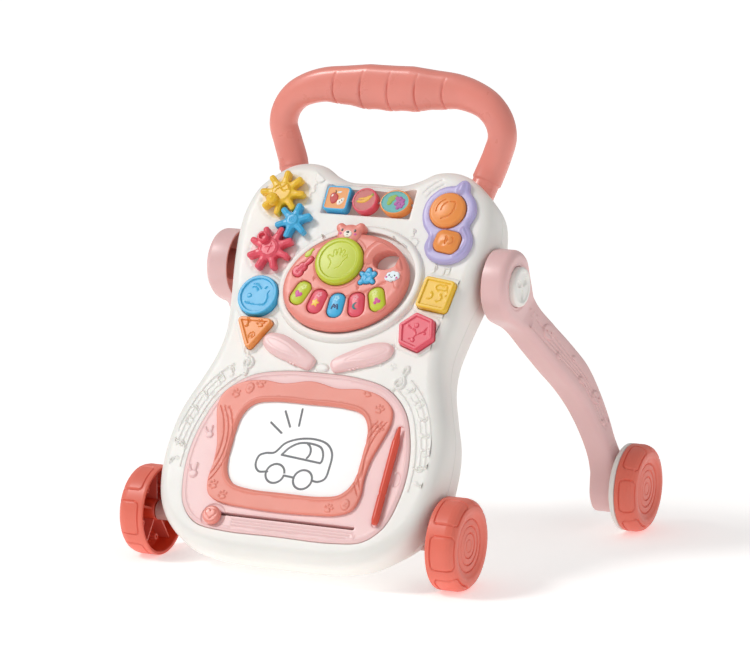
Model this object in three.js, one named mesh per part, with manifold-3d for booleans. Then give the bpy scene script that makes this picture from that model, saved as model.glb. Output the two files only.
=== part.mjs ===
// Push-along baby walker: a leaning play panel on two front wheels, with a loop handle and two
// folding rear legs. Millimetres, +Z up. The panel faces -Y and the child walks behind it, at +Y.
// The origin is the centre of the footprint, on the floor.
import * as THREE from 'three';
import { mergeVertices } from 'three/addons/utils/BufferGeometryUtils.js';
import Module from 'manifold-3d';

const wasm = await Module();
wasm.setup();

const V2 = THREE.Vector2;
const V3 = THREE.Vector3;
const { degToRad, lerp, clamp } = THREE.MathUtils;

// ---------------------------------------------------------------- driving dimensions

const GAP = 0.3;          // between pieces that rest on each other
const FIT = 0.5;          // around a button or block in its opening

// The play panel is drawn in its own plane: x across, y up along the panel, z out of its face.
const lean = degToRad(34);       // panel, from vertical
const panelSetback = 86;         // front axle to where the panel plane meets the floor

const body = {
  foot: 32, length: 421,         // lowest point of the panel, and up to the saddle
  upperHalf: 143, waistHalf: 126, lowerHalf: 155, earRise: 18,
  wall: 3, frontDepth: 30, rearDepth: 33.7, edge: 13, rearLift: 27,
};
const handle = { reach: 125, rise: 91, gripHalf: 20, gripBulge: 3.7, sideHalf: 15, depthHalf: 13.5 };
const frontWheel = { radius: 46, width: 30, track: 157 };
const rearWheel = { radius: 46, width: 22, cover: 7.5, axleBack: 305 };
const wheel = { rim: 3.5, facets: 20, bossRadius: 11 };
const axle = { radius: 4, running: 0.35, sleeveRadius: 10 };
const leg = { hubRadius: 37, footRadius: 29, thickness: 25.4, wall: 3, splay: 52, sideGap: 1 };
const spindle = { radius: 12, running: 0.3, flange: 17, inside: 31, hubHeight: 361, depth: 39 };
const knob = { radius: 20.5, height: 7.5, recess: 2.5, stem: 5 };
const tray = { width: 102, height: 34, depth: 22, wall: 2, below: 27 };
const tile = { size: 28, ovalWidth: 34, thickness: 11, shaft: 1.5, gap: 3.5 };
const gear = { module: 5.286, big: 8, small: 6, thickness: 8, standoff: 2, post: 4, peg: 5, pegHeight: 8 };
const bear = { thickness: 6, call: 19.5, note: 14, travel: 2.5 };
const block = { height: 12, pocket: 4, round: 22, triangle: 43, square: 34, hexagon: 21 };
const toy = {
  halfLong: 68, halfShort: 53, tilt: degToRad(12), height: 13, wall: 2.5, seatGap: 3.5, ring: 8, ringHeight: 5,
};
const drum = { radius: 26, top: 20 };
const tambourine = { radius: 8, gap: 4.1 };
const key = { width: 17.5, length: 27, fan: degToRad(13.5), fanRadius: 94.5, top: 15, travel: 2 };
const board = { half: 121, bottom: 57, top: 233, recess: 8, proud: 1.5, skin: 4, frame: 3.2 };
const screen = { halfWide: 72, bottom: 102, top: 197, corner: 14, lap: 4, offset: -2 };
const pen = { radius: 4, length: 104, x: 103, y: 79 };
const eraser = { slot: 3, knob: 9.5, start: -74, travel: 150, y: 74 };
const ear = { length: 62, width: 22, thickness: 6, post: 2.5 };
const battery = { width: 76, height: 56, depth: 20, y: 250, door: 2.5 };

// ---------------------------------------------------------------- outlines

const vec = ([x, y]) => new V2(x, y);

function anticlockwise(outline) {
  return THREE.ShapeUtils.area(outline) < 0 ? outline.reverse() : outline;
}

function smooth(points, count) {
  const curve = new THREE.CatmullRomCurve3(points.map(([x, y]) => new V3(x, y, 0)), true, 'centripetal');
  return anticlockwise(curve.getSpacedPoints(count).slice(0, -1).map((p) => new V2(p.x, p.y)));
}

function mirrored(half, count) {
  const other = half.slice(1, -1).reverse().map(([x, y]) => [-x, y]);
  return smooth([...half, ...other], count);
}

function oval(x, y, a, b, tilt = 0, count = 24) {
  return Array.from({ length: count }, (_, i) => {
    const t = (i / count) * 2 * Math.PI;
    return new V2(a * Math.cos(t), b * Math.sin(t)).rotateAround(new V2(), tilt).add(new V2(x, y));
  });
}

const circle = (x, y, r, count = 20) => oval(x, y, r, r, 0, count);

// A polygon with each corner replaced by an arc.
function rounded(corners, radius, steps = 2) {
  const outline = [];
  corners.forEach((corner, i) => {
    const toLast = corners.at(i - 1).clone().sub(corner).normalize();
    const toNext = corners[(i + 1) % corners.length].clone().sub(corner).normalize();
    const half = Math.acos(clamp(toLast.dot(toNext), -1, 1)) / 2;
    const middle = toLast.clone().add(toNext).normalize();
    const centre = corner.clone().addScaledVector(middle, radius / Math.sin(half));
    const start = Math.atan2(-middle.y, -middle.x);
    const sweep = Math.PI / 2 - half;
    for (let k = 0; k <= steps; k += 1) {
      const t = start + lerp(-sweep, sweep, k / steps);
      outline.push(new V2(Math.cos(t), Math.sin(t)).multiplyScalar(radius).add(centre));
    }
  });
  return anticlockwise(outline);
}

function rectangle(x, y, halfX, halfY, radius = 2, tilt = 0) {
  const corners = [[-1, -1], [1, -1], [1, 1], [-1, 1]].map(([i, j]) => (
    new V2(i * halfX, j * halfY).rotateAround(new V2(), tilt).add(new V2(x, y))));
  return rounded(corners, radius);
}

function regular(sides, x, y, radius, turn, corner) {
  const corners = Array.from({ length: sides }, (_, i) => (
    new V2(radius, 0).rotateAround(new V2(), turn + (i / sides) * 2 * Math.PI).add(new V2(x, y))));
  return rounded(corners, corner);
}

// The outline moved inwards by a distance (outwards where it is negative).
function inset(outline, distance) {
  return outline.map((p, i) => {
    const before = p.clone().sub(outline.at(i - 1)).normalize();
    const after = outline[(i + 1) % outline.length].clone().sub(p).normalize();
    const sum = new V2(-before.y - after.y, before.x + after.x);
    return p.clone().addScaledVector(sum, distance / (1 + before.dot(after)));
  });
}

// ---------------------------------------------------------------- solids

function fromTriangles(positions, indices) {
  const geometry = new THREE.BufferGeometry();
  geometry.setAttribute('position', new THREE.Float32BufferAttribute(positions, 3));
  geometry.setIndex(indices);
  return geometry;
}

// A closed skin over rings of equal length, each anticlockwise seen from the next one.
function loft(rings, fan = false) {
  const count = rings[0].length;
  const points = rings.flat();
  const indices = [];
  for (let i = 0; i < rings.length - 1; i += 1) {
    for (let j = 0; j < count; j += 1) {
      const [a, b] = [i * count + j, i * count + ((j + 1) % count)];
      indices.push(a, b, b + count, a, b + count, a + count);
    }
  }
  [0, rings.length - 1].forEach((ring) => {
    const first = ring * count;
    let faces;
    if (fan) {
      const middle = points.length;
      const total = rings[ring].reduce((sum, p) => sum.add(p), new V3());
      points.push(total.divideScalar(count));
      faces = rings[ring].map((_, j) => [middle, first + j, first + ((j + 1) % count)]);
    } else {
      faces = THREE.ShapeUtils.triangulateShape(rings[ring], []).map((face) => face.map((j) => first + j));
    }
    faces.forEach(([a, b, c]) => indices.push(...(ring === 0 ? [a, c, b] : [a, b, c])));
  });
  return fromTriangles(points.flatMap((p) => p.toArray()), indices);
}

// A plate over an outline: each level is a height and how far the outline is drawn in there.
function plate(outline, levels) {
  return loft(levels.map(([z, by]) => inset(outline, by).map((p) => new V3(p.x, p.y, z))));
}

const slab = (outline, low, high) => plate(outline, [[low, 0], [high, 0]]);

// A raised piece with a softened top edge.
const cap = (outline, low, high, soft) => plate(outline, [[low, 0], [high - soft, 0], [high, soft]]);

function lathe(profile, segments = wheel.facets) {
  return new THREE.LatheGeometry(anticlockwise(profile.map(vec)), segments);
}

// A cylinder along X, Y or Z, between two places on that axis.
function rod(axis, radius, from, to, at = [0, 0, 0], segments = 16) {
  const geometry = new THREE.CylinderGeometry(radius, radius, to - from, segments);
  geometry.translate(0, (from + to) / 2, 0);
  if (axis === 'x') geometry.rotateZ(-Math.PI / 2);
  if (axis === 'z') geometry.rotateX(Math.PI / 2);
  return geometry.translate(...at);
}

const box = (x, y, z, at) => new THREE.BoxGeometry(x, y, z).translate(...at);

function solid(geometry) {
  const bare = geometry.clone();
  bare.deleteAttribute('normal');
  bare.deleteAttribute('uv');
  const merged = mergeVertices(bare, 1e-4);
  return new wasm.Manifold(new wasm.Mesh({
    numProp: 3,
    vertProperties: new Float32Array(merged.attributes.position.array),
    triVerts: new Uint32Array(merged.index.array),
  }));
}

function combine(operation, first, others) {
  const result = others.reduce((sum, other) => sum[operation](solid(other)), solid(first));
  const { vertProperties, triVerts } = result.getMesh();
  return fromTriangles(Array.from(vertProperties), Array.from(triVerts));
}

const cut = (first, ...others) => combine('subtract', first, others);
const join = (first, ...others) => combine('add', first, others);

// ---------------------------------------------------------------- places on the panel

const top = body.foot + body.length;
const drawn = { length: 420, upper: 143, waist: 126, lower: 155 };

// Features keep their share of the panel's height when its length changes.
const up = (y) => body.foot + ((y - 32) * body.length) / drawn.length;

// And their share of its width: the upper lobe, the waist or the lower lobe.
const upperX = (x) => (x * body.upperHalf) / drawn.upper;
const waistX = (x) => (x * body.waistHalf) / drawn.waist;
const lowerX = (x) => (x * body.lowerHalf) / drawn.lower;

const trayY = top - tray.below;
const toyAt = new V2(waistX(4), up(330));
const seatAt = toyAt.clone().add(new V2(1.5, 2));
const drumAt = toyAt.clone().add(new V2(-10, 20));
const tambourineAt = new V2(35, -15).setLength(drum.radius + tambourine.gap + tambourine.radius).add(drumAt);
const callAt = new V2(upperX(94), up(418));
const noteAt = new V2(upperX(102), up(384));
const roundAt = new V2(waistX(-91), up(309));
const triangleAt = new V2(waistX(-86), up(272));
const squareAt = new V2(waistX(104), up(326.5));
const hexagonAt = new V2(waistX(94), up(284.5));
const hubY = up(spindle.hubHeight);
const axleY = panelSetback * Math.sin(lean) + frontWheel.radius * Math.cos(lean);
const axleZ = frontWheel.radius * Math.sin(lean) - panelSetback * Math.cos(lean);
const parting = -body.frontDepth;
const back = parting - GAP - body.rearDepth;

const panel = new THREE.Group();
panel.position.set(0, -panelSetback, 0);
panel.rotation.x = Math.PI / 2 - lean;
panel.updateMatrixWorld();

const toWorld = (x, y, z) => new V3(x, y, z).applyMatrix4(panel.matrixWorld);
const hub = toWorld(0, hubY, -spindle.depth);
const legInner = body.upperHalf + leg.sideGap;

// ---------------------------------------------------------------- materials

const colours = {
  white: '#f1efea', salmon: '#f0978a', pink: '#f6d5d4', leg: '#e9c3c2', red: '#ea7a66', yellow: '#f5c42e',
  blue: '#45b6e2', crimson: '#e8586a', purple: '#beb9de', orange: '#f49a4e', green: '#cdd84a', steel: '#b9bcc0',
  screen: '#fdfdfd', grey: '#8a8884', board: '#3d7a4b',
};
const materials = Object.fromEntries(Object.entries(colours).map(([name, color]) => [
  name, new THREE.MeshStandardMaterial({
    color, roughness: name === 'steel' ? 0.3 : 0.42, metalness: name === 'steel' ? 1 : 0,
  })]));

function mesh(name, geometry, colour, parent = panel, at = [0, 0, 0]) {
  const bare = mergeVertices(geometry.deleteAttribute('normal').deleteAttribute('uv'), 1e-4);
  bare.computeVertexNormals();
  const piece = new THREE.Mesh(bare, materials[colour]);
  piece.name = name;
  piece.position.set(...at);
  parent.add(piece);
  return piece;
}

// ---------------------------------------------------------------- body shells

function bodyOutline() {
  const [u, w, l] = [body.upperHalf, body.waistHalf, body.lowerHalf];
  const rise = top + body.earRise;
  return mirrored([
    [0, top], [u * 0.21, top], [u * 0.33, top + body.earRise * 0.35], [u * 0.44, rise - 2.5], [u * 0.57, rise],
    [u * 0.7, rise - 4], [u * 0.84, top], [u * 0.94, up(436)], [u, up(408)], [u, up(380)],
    [lerp(u, w, 0.25), up(348)], [w + 4, up(303)], [w, up(270)], [w + 3, up(245)], [lerp(w, l, 0.45), up(215)],
    [lerp(w, l, 0.85), up(183)], [l, up(150)], [l - 2, up(112)], [l - 11, up(82)], [l - 27, up(60)],
    [l - 52, up(43)], [l - 90, body.foot + 2], [0, body.foot],
  ], 56);
}

const bodyLine = bodyOutline();

// The rear shell's lower end climbs as it goes back, so that it clears the floor.
function lifted(outline, share) {
  const reach = up(130) - body.foot;
  return outline.map((p) => {
    const low = clamp((up(130) - p.y) / reach, 0, 1);
    return new V2(p.x, p.y + low * share * body.rearLift);
  });
}

const frontLevels = (shift, draw) => [
  [parting - (shift ? 1 : 0), draw], [-11 - shift, draw + 1.5], [-3.5 - shift, draw + body.edge * 0.45],
  [-shift, draw + body.edge],
];

function rearPlate(shift, draw) {
  const depth = body.rearDepth;
  const steps = [[depth, 16], [depth - 3, 7], [depth - 11, 1.5], [shift ? -1 : 0, 0]];
  return loft(steps.map(([down, by]) => (
    inset(lifted(bodyLine, down / depth), by + draw)
      .map((p) => new V3(p.x, p.y, parting - GAP - down + (down > 0 ? shift : 0)))
  )));
}

// Handle: a loop in an upright plane whose tails lie between the two shells.
const handlePlane = toWorld(0, top + 26, parting).y;
const handleFoot = toWorld(0, top + 26, parting).z;

function handlePath() {
  const { reach, rise } = handle;
  const tail = (y) => toWorld(0, y, parting);
  const [low, mid] = [tail(top - 16), tail(top + 4)];
  const half = [
    [reach - 22, low.y, low.z], [reach - 18, mid.y, mid.z], [reach - 13, handlePlane - 3, handleFoot],
    [reach - 5, handlePlane, handleFoot + rise * 0.24], [reach, handlePlane, handleFoot + rise * 0.44],
    [reach - 4, handlePlane, handleFoot + rise * 0.62], [reach - 15, handlePlane, handleFoot + rise * 0.77],
    [reach - 30, handlePlane, handleFoot + rise * 0.86], [reach - 50, handlePlane, handleFoot + rise * 0.915],
    [reach - 78, handlePlane, handleFoot + rise * 0.92],
  ];
  const peak = [[0, handlePlane, handleFoot + rise * 0.915]];
  return new THREE.CatmullRomCurve3([
    ...half, ...peak, ...half.toReversed().map(([x, y, z]) => [-x, y, z]),
  ].map((p) => new V3(...p)), false, 'centripetal');
}

function handleSolid(extra) {
  const path = handlePath();
  const rings = 28;
  const facets = 10;
  return loft(Array.from({ length: rings + 1 }, (_, i) => {
    const middle = path.getPointAt(i / rings);
    const along = path.getTangentAt(i / rings);
    const inward = new V3().crossVectors(along, new V3(0, 1, 0)).normalize();
    const across = new V3().crossVectors(along, inward);
    const nearness = clamp(1.25 - Math.abs(middle.x) / (handle.reach * 0.8), 0, 1);
    const half = lerp(handle.sideHalf, handle.gripHalf, nearness) + handle.gripBulge * nearness ** 2 + extra;
    return Array.from({ length: facets }, (__, k) => {
      const t = (k / facets) * 2 * Math.PI;
      return middle.clone()
        .addScaledVector(inward, half * Math.sign(Math.cos(t)) * Math.abs(Math.cos(t)) ** 0.8)
        .addScaledVector(across, (handle.depthHalf + extra) * Math.sign(Math.sin(t)) * Math.abs(Math.sin(t)) ** 0.8);
    });
  }), true);
}

const worldToPanel = panel.matrixWorld.clone().invert();
const inPanel = (geometry) => geometry.clone().applyMatrix4(worldToPanel);
const sideHoles = () => [
  rod('x', axle.sleeveRadius + GAP, -300, 300, [0, axleY, axleZ]),
  rod('x', spindle.radius + GAP, -300, 300, [0, hubY, -spindle.depth]),
];

// ---------------------------------------------------------------- seats and openings in the front

const boardOutline = () => {
  const { bottom } = board;
  const half = lowerX(board.half);
  const rise = board.top - bottom;
  return mirrored([
    [0, bottom + rise], [half * 0.35, bottom + rise * 0.99], [half * 0.64, bottom + rise * 0.94],
    [half * 0.84, bottom + rise * 0.82], [half * 0.955, bottom + rise * 0.64], [half, bottom + rise * 0.46],
    [half * 0.99, bottom + rise * 0.3], [half * 0.92, bottom + rise * 0.13], [half * 0.77, bottom + rise * 0.03],
    [half * 0.5, bottom], [0, bottom],
  ].map(([x, y]) => [x, up(y)]), 36);
};

const blockOutlines = {
  round_block: circle(roundAt.x, roundAt.y, block.round, 20),
  triangle_block: regular(3, triangleAt.x, triangleAt.y, block.triangle / Math.sqrt(3), -Math.PI / 2, 4),
  square_block: rectangle(squareAt.x, squareAt.y, block.square / 2, block.square / 2, 4, degToRad(-7)),
  hexagon_block: regular(6, hexagonAt.x, hexagonAt.y, block.hexagon, degToRad(42), 3),
};

const toyOutline = (grow = 0) => oval(toyAt.x, toyAt.y, toy.halfLong + grow, toy.halfShort + grow, toy.tilt, 28);
const seatOutline = (grow) => {
  const out = toy.seatGap + grow;
  return oval(seatAt.x, seatAt.y, toy.halfLong + out, toy.halfShort + out, toy.tilt, 28);
};

const bigPitch = (gear.module * gear.big) / 2;
const smallPitch = (gear.module * gear.small) / 2;
const blueAt = new V2(upperX(-74), up(394));
const yellowAngle = degToRad(124.5);
const redAngle = degToRad(241.7);
const meshed = (angle) => new V2(bigPitch + smallPitch, 0).rotateAround(new V2(), angle).add(blueAt);
const yellowAt = meshed(yellowAngle);
const redAt = meshed(redAngle);
const postTop = gear.standoff + gear.thickness - 1.5;
const earAt = (side) => new V2(side * 15, up(243));

function frontShell() {
  const pads = [
    slab(inset(boardOutline(), -FIT - body.wall), -board.recess - body.wall, -body.wall + 1),
    ...Object.values(blockOutlines).map((line) => slab(inset(line, -FIT - body.wall), -block.pocket - body.wall,
      -body.wall + 1)),
    box(tray.width + 2 * tray.wall, tray.height + 2 * tray.wall, tray.depth, [0, trayY, -tray.depth / 2 - 1]),
  ];
  const posts = [yellowAt, blueAt, redAt].map((p) => rod('z', gear.post, -1, postTop, [p.x, p.y, 0], 12));
  const earPosts = [-1, 1].map((side) => rod('z', ear.post, -1, 4, [earAt(side).x, earAt(side).y, 0], 10));
  const ring = cut(
    plate(seatOutline(toy.ring), [[-1, 0], [toy.ringHeight - 2, 0], [toy.ringHeight, 2.5]]),
    slab(seatOutline(0), -2, toy.ringHeight + 1),
  );
  const hollow = cut(plate(bodyLine, frontLevels(0, 0)), plate(bodyLine, frontLevels(body.wall, body.wall)));
  return cut(
    join(hollow, ...pads, ...posts, ...earPosts, ring),
    slab(inset(boardOutline(), -FIT), -board.recess, 10),
    ...Object.values(blockOutlines).map((line) => slab(inset(line, -FIT), -block.pocket, 10)),
    box(tray.width, tray.height, tray.depth, [0, trayY, -tray.depth / 2 + tray.wall]),
    rod('x', tile.shaft + GAP, -tray.width / 2 - 1.5, tray.width / 2 + 1.5, [0, trayY, -2], 10),
    ...sideHoles(),
    inPanel(handleSolid(FIT)),
  );
}

function rearShell() {
  const grille = [0, 1, 2, 3, 4, 5].map((i) => {
    const spot = new V2(11, 0).rotateAround(new V2(), (i * Math.PI) / 3);
    return rod('z', 2.5, back - 5, back + 8, [spot.x, up(150) + spot.y, 0], 8);
  });
  return cut(
    rearPlate(0, 0),
    rearPlate(body.wall, body.wall),
    ...grille,
    box(battery.width - 4, battery.height - 4, 12, [0, up(battery.y), back]),
    box(13, 7, 12, [waistX(62), up(battery.y), back]),
    ...sideHoles(),
    inPanel(handleSolid(FIT)),
  );
}

// ---------------------------------------------------------------- inside the body

function buildInside() {
  const { width, height, depth, y, door } = battery;
  const floor = back + body.wall + GAP;
  const caseSolid = cut(
    box(width, height, depth, [0, up(y), floor + depth / 2]),
    box(width - 4, height - 4, depth, [0, up(y), floor + depth / 2 - 2]),
  );
  mesh('battery_box', caseSolid, 'grey');
  mesh('battery_door', cap(rectangle(0, 0, width / 2 - 2 - GAP, height / 2 - 2 - GAP, 2), -door, 0, 0.6)
    .rotateX(Math.PI), 'white', panel, [0, up(y), back]);
  mesh('power_switch', join(box(12, 9, 1.5, [0, 0, 0.75]), box(5, 4, 7, [0, 0, -2.5])), 'red', panel,
    [waistX(62) - 2.5, up(y), floor]);
  mesh('circuit_board', box(90, 44, 1.6, [0, up(330), parting]), 'board');
  mesh('speaker', lathe([[0, 0], [22, 0], [22, 5], [13, 12], [13, 18], [0, 18]], 20).rotateX(Math.PI / 2), 'grey',
    panel, [0, up(150), floor]);
}

// ---------------------------------------------------------------- wheels, axles and legs

function wheelProfile({ radius, width }) {
  const rim = radius / Math.cos(Math.PI / wheel.facets);
  const bore = axle.radius + axle.running;
  return [
    [0, width - 2.5], [rim * 0.3, width - 3], [rim * 0.72, width], [rim * 0.92, width - 2.5], [rim, width - 9],
    [rim, 0], [rim - wheel.rim, 0], [rim - wheel.rim, width - 9.5], [wheel.bossRadius, width - 7],
    [wheel.bossRadius, 6], [bore, 6], [bore, width - 6], [0, width - 6],
  ];
}

// A turned piece whose axis is X, its profile running outwards on the given side.
function onAxle(profile, side, facets = wheel.facets) {
  const geometry = lathe(profile, facets).rotateY(Math.PI / facets).rotateZ(-Math.PI / 2);
  return side > 0 ? geometry : geometry.rotateZ(Math.PI);
}

const legReach = new V2(rearWheel.axleBack - hub.y, rearWheel.radius - hub.z);
const legLength = legReach.length();
const legAngle = legReach.angle();

// Each row: share of the way from hub to foot, how far the leg bows back, its half width.
const legShape = [
  [0.17, 6.5, 21], [0.29, 13, 21], [0.425, 21, 22], [0.54, 27, 21], [0.65, 26, 18], [0.755, 20, 15.5],
  [0.85, 10.5, 14.5],
];

function legOutline() {
  const arc = (at, radius, from, to, steps) => Array.from({ length: steps + 1 }, (_, i) => {
    const t = degToRad(lerp(from, to, i / steps));
    return [at + radius * Math.cos(t), radius * Math.sin(t)];
  });
  const along = legShape.map(([share, bow, half]) => [share * legLength, bow, half]);
  return smooth([
    ...arc(0, leg.hubRadius, 62, 292, 6),
    ...along.map(([at, bow, half]) => [at, bow - half]),
    ...arc(legLength, leg.footRadius, -110, 130, 6),
    ...along.toReversed().map(([at, bow, half]) => [at, bow + half]),
  ], 44);
}

// The leg in its own plane (x along it, y to its back, z outwards), then splayed and stood up.
function legSolid(side) {
  const { thickness, wall } = leg;
  const outline = legOutline();
  const outer = plate(outline, [[0, 0], [thickness - 7, 0], [thickness, 6]]);
  const inner = plate(inset(outline, wall), [[-1, 0], [thickness - 9, 0], [thickness - wall, 4.5]]);
  const ribs = [0.33, 0.62].map((share) => box(2.5, 28, thickness - 6, [
    share * legLength, share < 0.5 ? 15 : 26, thickness / 2]));
  const footBore = axle.radius + GAP;
  const bosses = [
    rod('z', spindle.radius + 4, 4, thickness - 1, [0, 0, 0]),
    rod('z', footBore + 4, 0, thickness - 1, [legLength, 0, 0], 12),
  ];
  let shape = cut(
    join(cut(outer, inner), ...bosses, ...ribs),
    rod('z', spindle.radius + spindle.running, -1, thickness - wall - 3, [0, 0, 0]),
    rod('z', knob.stem + GAP, -1, thickness + 1, [0, 0, 0], 12),
    rod('z', knob.radius + FIT, thickness - knob.recess, thickness + 1, [0, 0, 0], 20),
    rod('z', footBore, -1, thickness + 1, [legLength, 0, 0], 12),
  );
  const places = shape.attributes.position;
  for (let i = 0; i < places.count; i += 1) {
    const share = clamp((places.getX(i) - leg.hubRadius) / (legLength - leg.hubRadius - leg.footRadius), 0, 1);
    places.setZ(i, places.getZ(i) + share * leg.splay);
  }
  // Along the leg, to its back, outwards: these become directions in Y and Z, and X.
  const [c, s] = [Math.cos(legAngle), Math.sin(legAngle)];
  const stand = new THREE.Matrix4().makeBasis(new V3(0, c, s), new V3(0, -s, c), new V3(1, 0, 0));
  shape = shape.applyMatrix4(stand);
  return side > 0 ? shape : mirror(shape);
}

// The same solid on the other side of the walker.
function mirror(geometry) {
  const flipped = geometry.clone().scale(-1, 1, 1);
  const index = flipped.index.array;
  for (let i = 0; i < index.length; i += 3) {
    [index[i], index[i + 1]] = [index[i + 1], index[i]];
  }
  return flipped;
}

function buildRunningGear(world) {
  const { radius, width, track } = frontWheel;
  mesh('front_axle', rod('x', axle.radius, -track - width + 7, track + width - 7), 'steel', world, [0, 0, radius]);
  const footInner = legInner + leg.splay;
  const footOuter = footInner + leg.thickness;
  [[-1, 'left'], [1, 'right']].forEach(([side, hand]) => {
    mesh(`axle_sleeve_${hand}`, onAxle([
      [axle.radius + axle.running, 0], [axle.sleeveRadius, 0], [axle.sleeveRadius, track - 120],
      [axle.radius + axle.running, track - 120], [axle.radius + axle.running, 0],
    ], side, 16), 'pink', world, [side * 125, 0, radius]);
    mesh(`front_wheel_${hand}`, onAxle(wheelProfile(frontWheel), side), 'red', world, [side * track, 0, radius]);

    const spindleFrom = body.upperHalf - spindle.inside;
    const spindleLength = legInner + leg.thickness - leg.wall - 4 - spindleFrom;
    mesh(`leg_spindle_${hand}`, onAxle([
      [knob.stem + GAP, 0], [spindle.flange, 0], [spindle.flange, 8], [spindle.radius, 8],
      [spindle.radius, spindleLength], [knob.stem + GAP, spindleLength], [knob.stem + GAP, 0],
    ], side, 16), 'grey', world, [side * spindleFrom, hub.y, hub.z]);
    mesh(`leg_${hand}`, legSolid(side), 'leg', world, [side * legInner, hub.y, hub.z]);
    const seat = legInner + leg.thickness - knob.recess + GAP;
    mesh(`leg_knob_${hand}`, onAxle([
      [0, -24], [knob.stem, -24], [knob.stem, 0], [knob.radius, 0], [knob.radius, knob.height - 3],
      [knob.radius - 3, knob.height], [0, knob.height],
    ], side, 20), 'white', world, [side * seat, hub.y, hub.z]);

    const rear = [hub.y + legReach.x, hub.z + legReach.y];
    mesh(`rear_axle_${hand}`, onAxle([
      [0, 0], [axle.radius + 3, 0], [axle.radius + 3, 2.5], [axle.radius, 2.5], [axle.radius, leg.thickness + 24],
      [0, leg.thickness + 24],
    ], side, 16), 'steel', world, [side * (footInner - 2.5 - GAP), ...rear]);
    const coverAt = footOuter + 1;
    const coverRim = rearWheel.radius / Math.cos(Math.PI / wheel.facets);
    mesh(`rear_wheel_cover_${hand}`, onAxle([
      [axle.radius + axle.running, 0], [coverRim - 6, 0], [coverRim, 1.5], [coverRim, rearWheel.cover],
      [axle.radius + axle.running, rearWheel.cover], [axle.radius + axle.running, 0],
    ], side), 'white', world, [side * coverAt, ...rear]);
    mesh(`rear_wheel_${hand}`, onAxle(wheelProfile(rearWheel), side), 'red', world,
      [side * (coverAt + rearWheel.cover + GAP), ...rear]);
  });
}

// ---------------------------------------------------------------- turning fruit tiles

function buildTiles() {
  const shaftZ = -2;
  const half = tile.size / 2;
  const wide = 2 * tile.size + tile.ovalWidth + 2 * tile.gap;
  const shapes = {
    apple_tile: [half, (x) => rectangle(x, 0, half, half, 5)],
    banana_tile: [half, (x) => circle(x, 0, half, 18)],
    grape_tile: [tile.ovalWidth / 2, (x) => oval(x, 0, tile.ovalWidth / 2, half, 0, 18)],
  };
  const tints = { apple_tile: 'blue', banana_tile: 'crimson', grape_tile: 'orange' };
  let x = -wide / 2;
  Object.entries(shapes).forEach(([name, [reach, outline]]) => {
    const flat = tile.thickness / 2;
    const blank = plate(outline(0), [[-flat, 1.5], [-flat + 1.5, 0], [flat - 1.5, 0], [flat, 1.5]]);
    const bore = rod('x', tile.shaft + GAP, -30, 30, [0, 0, 0], 10);
    mesh(name, cut(blank, bore), tints[name], panel, [x + reach, trayY, shaftZ]);
    x += 2 * reach + tile.gap;
  });
  mesh('tile_shaft', rod('x', tile.shaft, -tray.width / 2 - 1, tray.width / 2 + 1, [0, 0, 0], 10), 'steel', panel,
    [0, trayY, shaftZ]);
}

// ---------------------------------------------------------------- gear train

function gearOutline(teeth, turn) {
  const pitch = (gear.module * teeth) / 2;
  const [root, tip] = [pitch - 5.4, pitch + 4.4];
  const outline = [];
  for (let i = 0; i < teeth; i += 1) {
    const middle = turn + (i / teeth) * 2 * Math.PI;
    [[root, -3.6], [tip - 2, -2.9], [tip, -1.4], [tip, 1.4], [tip - 2, 2.9], [root, 3.6]].forEach(([r, side]) => {
      outline.push(new V2(Math.sqrt(r * r - side * side), side).rotateAround(new V2(), middle));
    });
  }
  return outline;
}

function buildGear(name, colour, teeth, at, turn, pegTurn) {
  const low = gear.standoff;
  const high = low + gear.thickness;
  let shape = plate(gearOutline(teeth, turn), [[low, 0], [high - 1.5, 0], [high, 1.2]]);
  if (pegTurn !== undefined) {
    const peg = new V2(bigPitch * 0.56, 0).rotateAround(new V2(), pegTurn);
    shape = join(shape, cap(circle(peg.x, peg.y, gear.peg, 12), high - 1, high + gear.pegHeight, 1.5));
  }
  shape = cut(shape, rod('z', gear.post + 0.4, 0, postTop + GAP, [0, 0, 0], 12));
  mesh(name, shape, colour, panel, [at.x, at.y, 0]);
}

function buildGears() {
  const halfTooth = Math.PI / gear.big;
  const turned = degToRad(-12);
  const blueMeshed = yellowAngle;
  const lag = redAngle - (blueMeshed + 2 * (2 * Math.PI / gear.small));
  const yellowTurn = yellowAngle + Math.PI + halfTooth + turned;
  const blueTurn = blueMeshed - (turned * gear.big) / gear.small;
  const redTurn = redAngle + Math.PI + halfTooth + (lag * gear.small) / gear.big + turned;
  buildGear('yellow_gear', 'yellow', gear.big, yellowAt, yellowTurn, degToRad(235));
  buildGear('blue_gear', 'blue', gear.small, blueAt, blueTurn);
  buildGear('red_gear', 'crimson', gear.big, redAt, redTurn, degToRad(130));
}

// ---------------------------------------------------------------- bear call buttons and shape blocks

function buildBear() {
  const low = GAP;
  const high = low + bear.thickness;
  const head = cap(circle(callAt.x, callAt.y, bear.call + 10, 22), low, high, 1.5);
  const belly = cap(oval(noteAt.x, noteAt.y, bear.note + 12, bear.note + 9, 0, 22), low, high, 1.5);
  const tip = cap(circle(callAt.x + 8, callAt.y + bear.call + 11, 7.5, 12), low, high, 1.5);
  const noteLine = rectangle(noteAt.x, noteAt.y, bear.note, bear.note * 0.85, 5, degToRad(-8));
  mesh('bear_cover', cut(
    join(head, belly, tip),
    slab(circle(callAt.x, callAt.y, bear.call + FIT, 22), -1, high + 1),
    slab(inset(noteLine, -FIT), -1, high + 1),
  ), 'purple');
  const rest = low + bear.travel + 0.4;
  mesh('call_button', plate(circle(0, 0, bear.call, 22), [[rest, 0], [high + 4.5, 0], [high + 7.5, 5]]),
    'orange', panel, [callAt.x, callAt.y, 0]);
  mesh('note_button', cap(noteLine, rest, high + 5, 2), 'orange');
}

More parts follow.
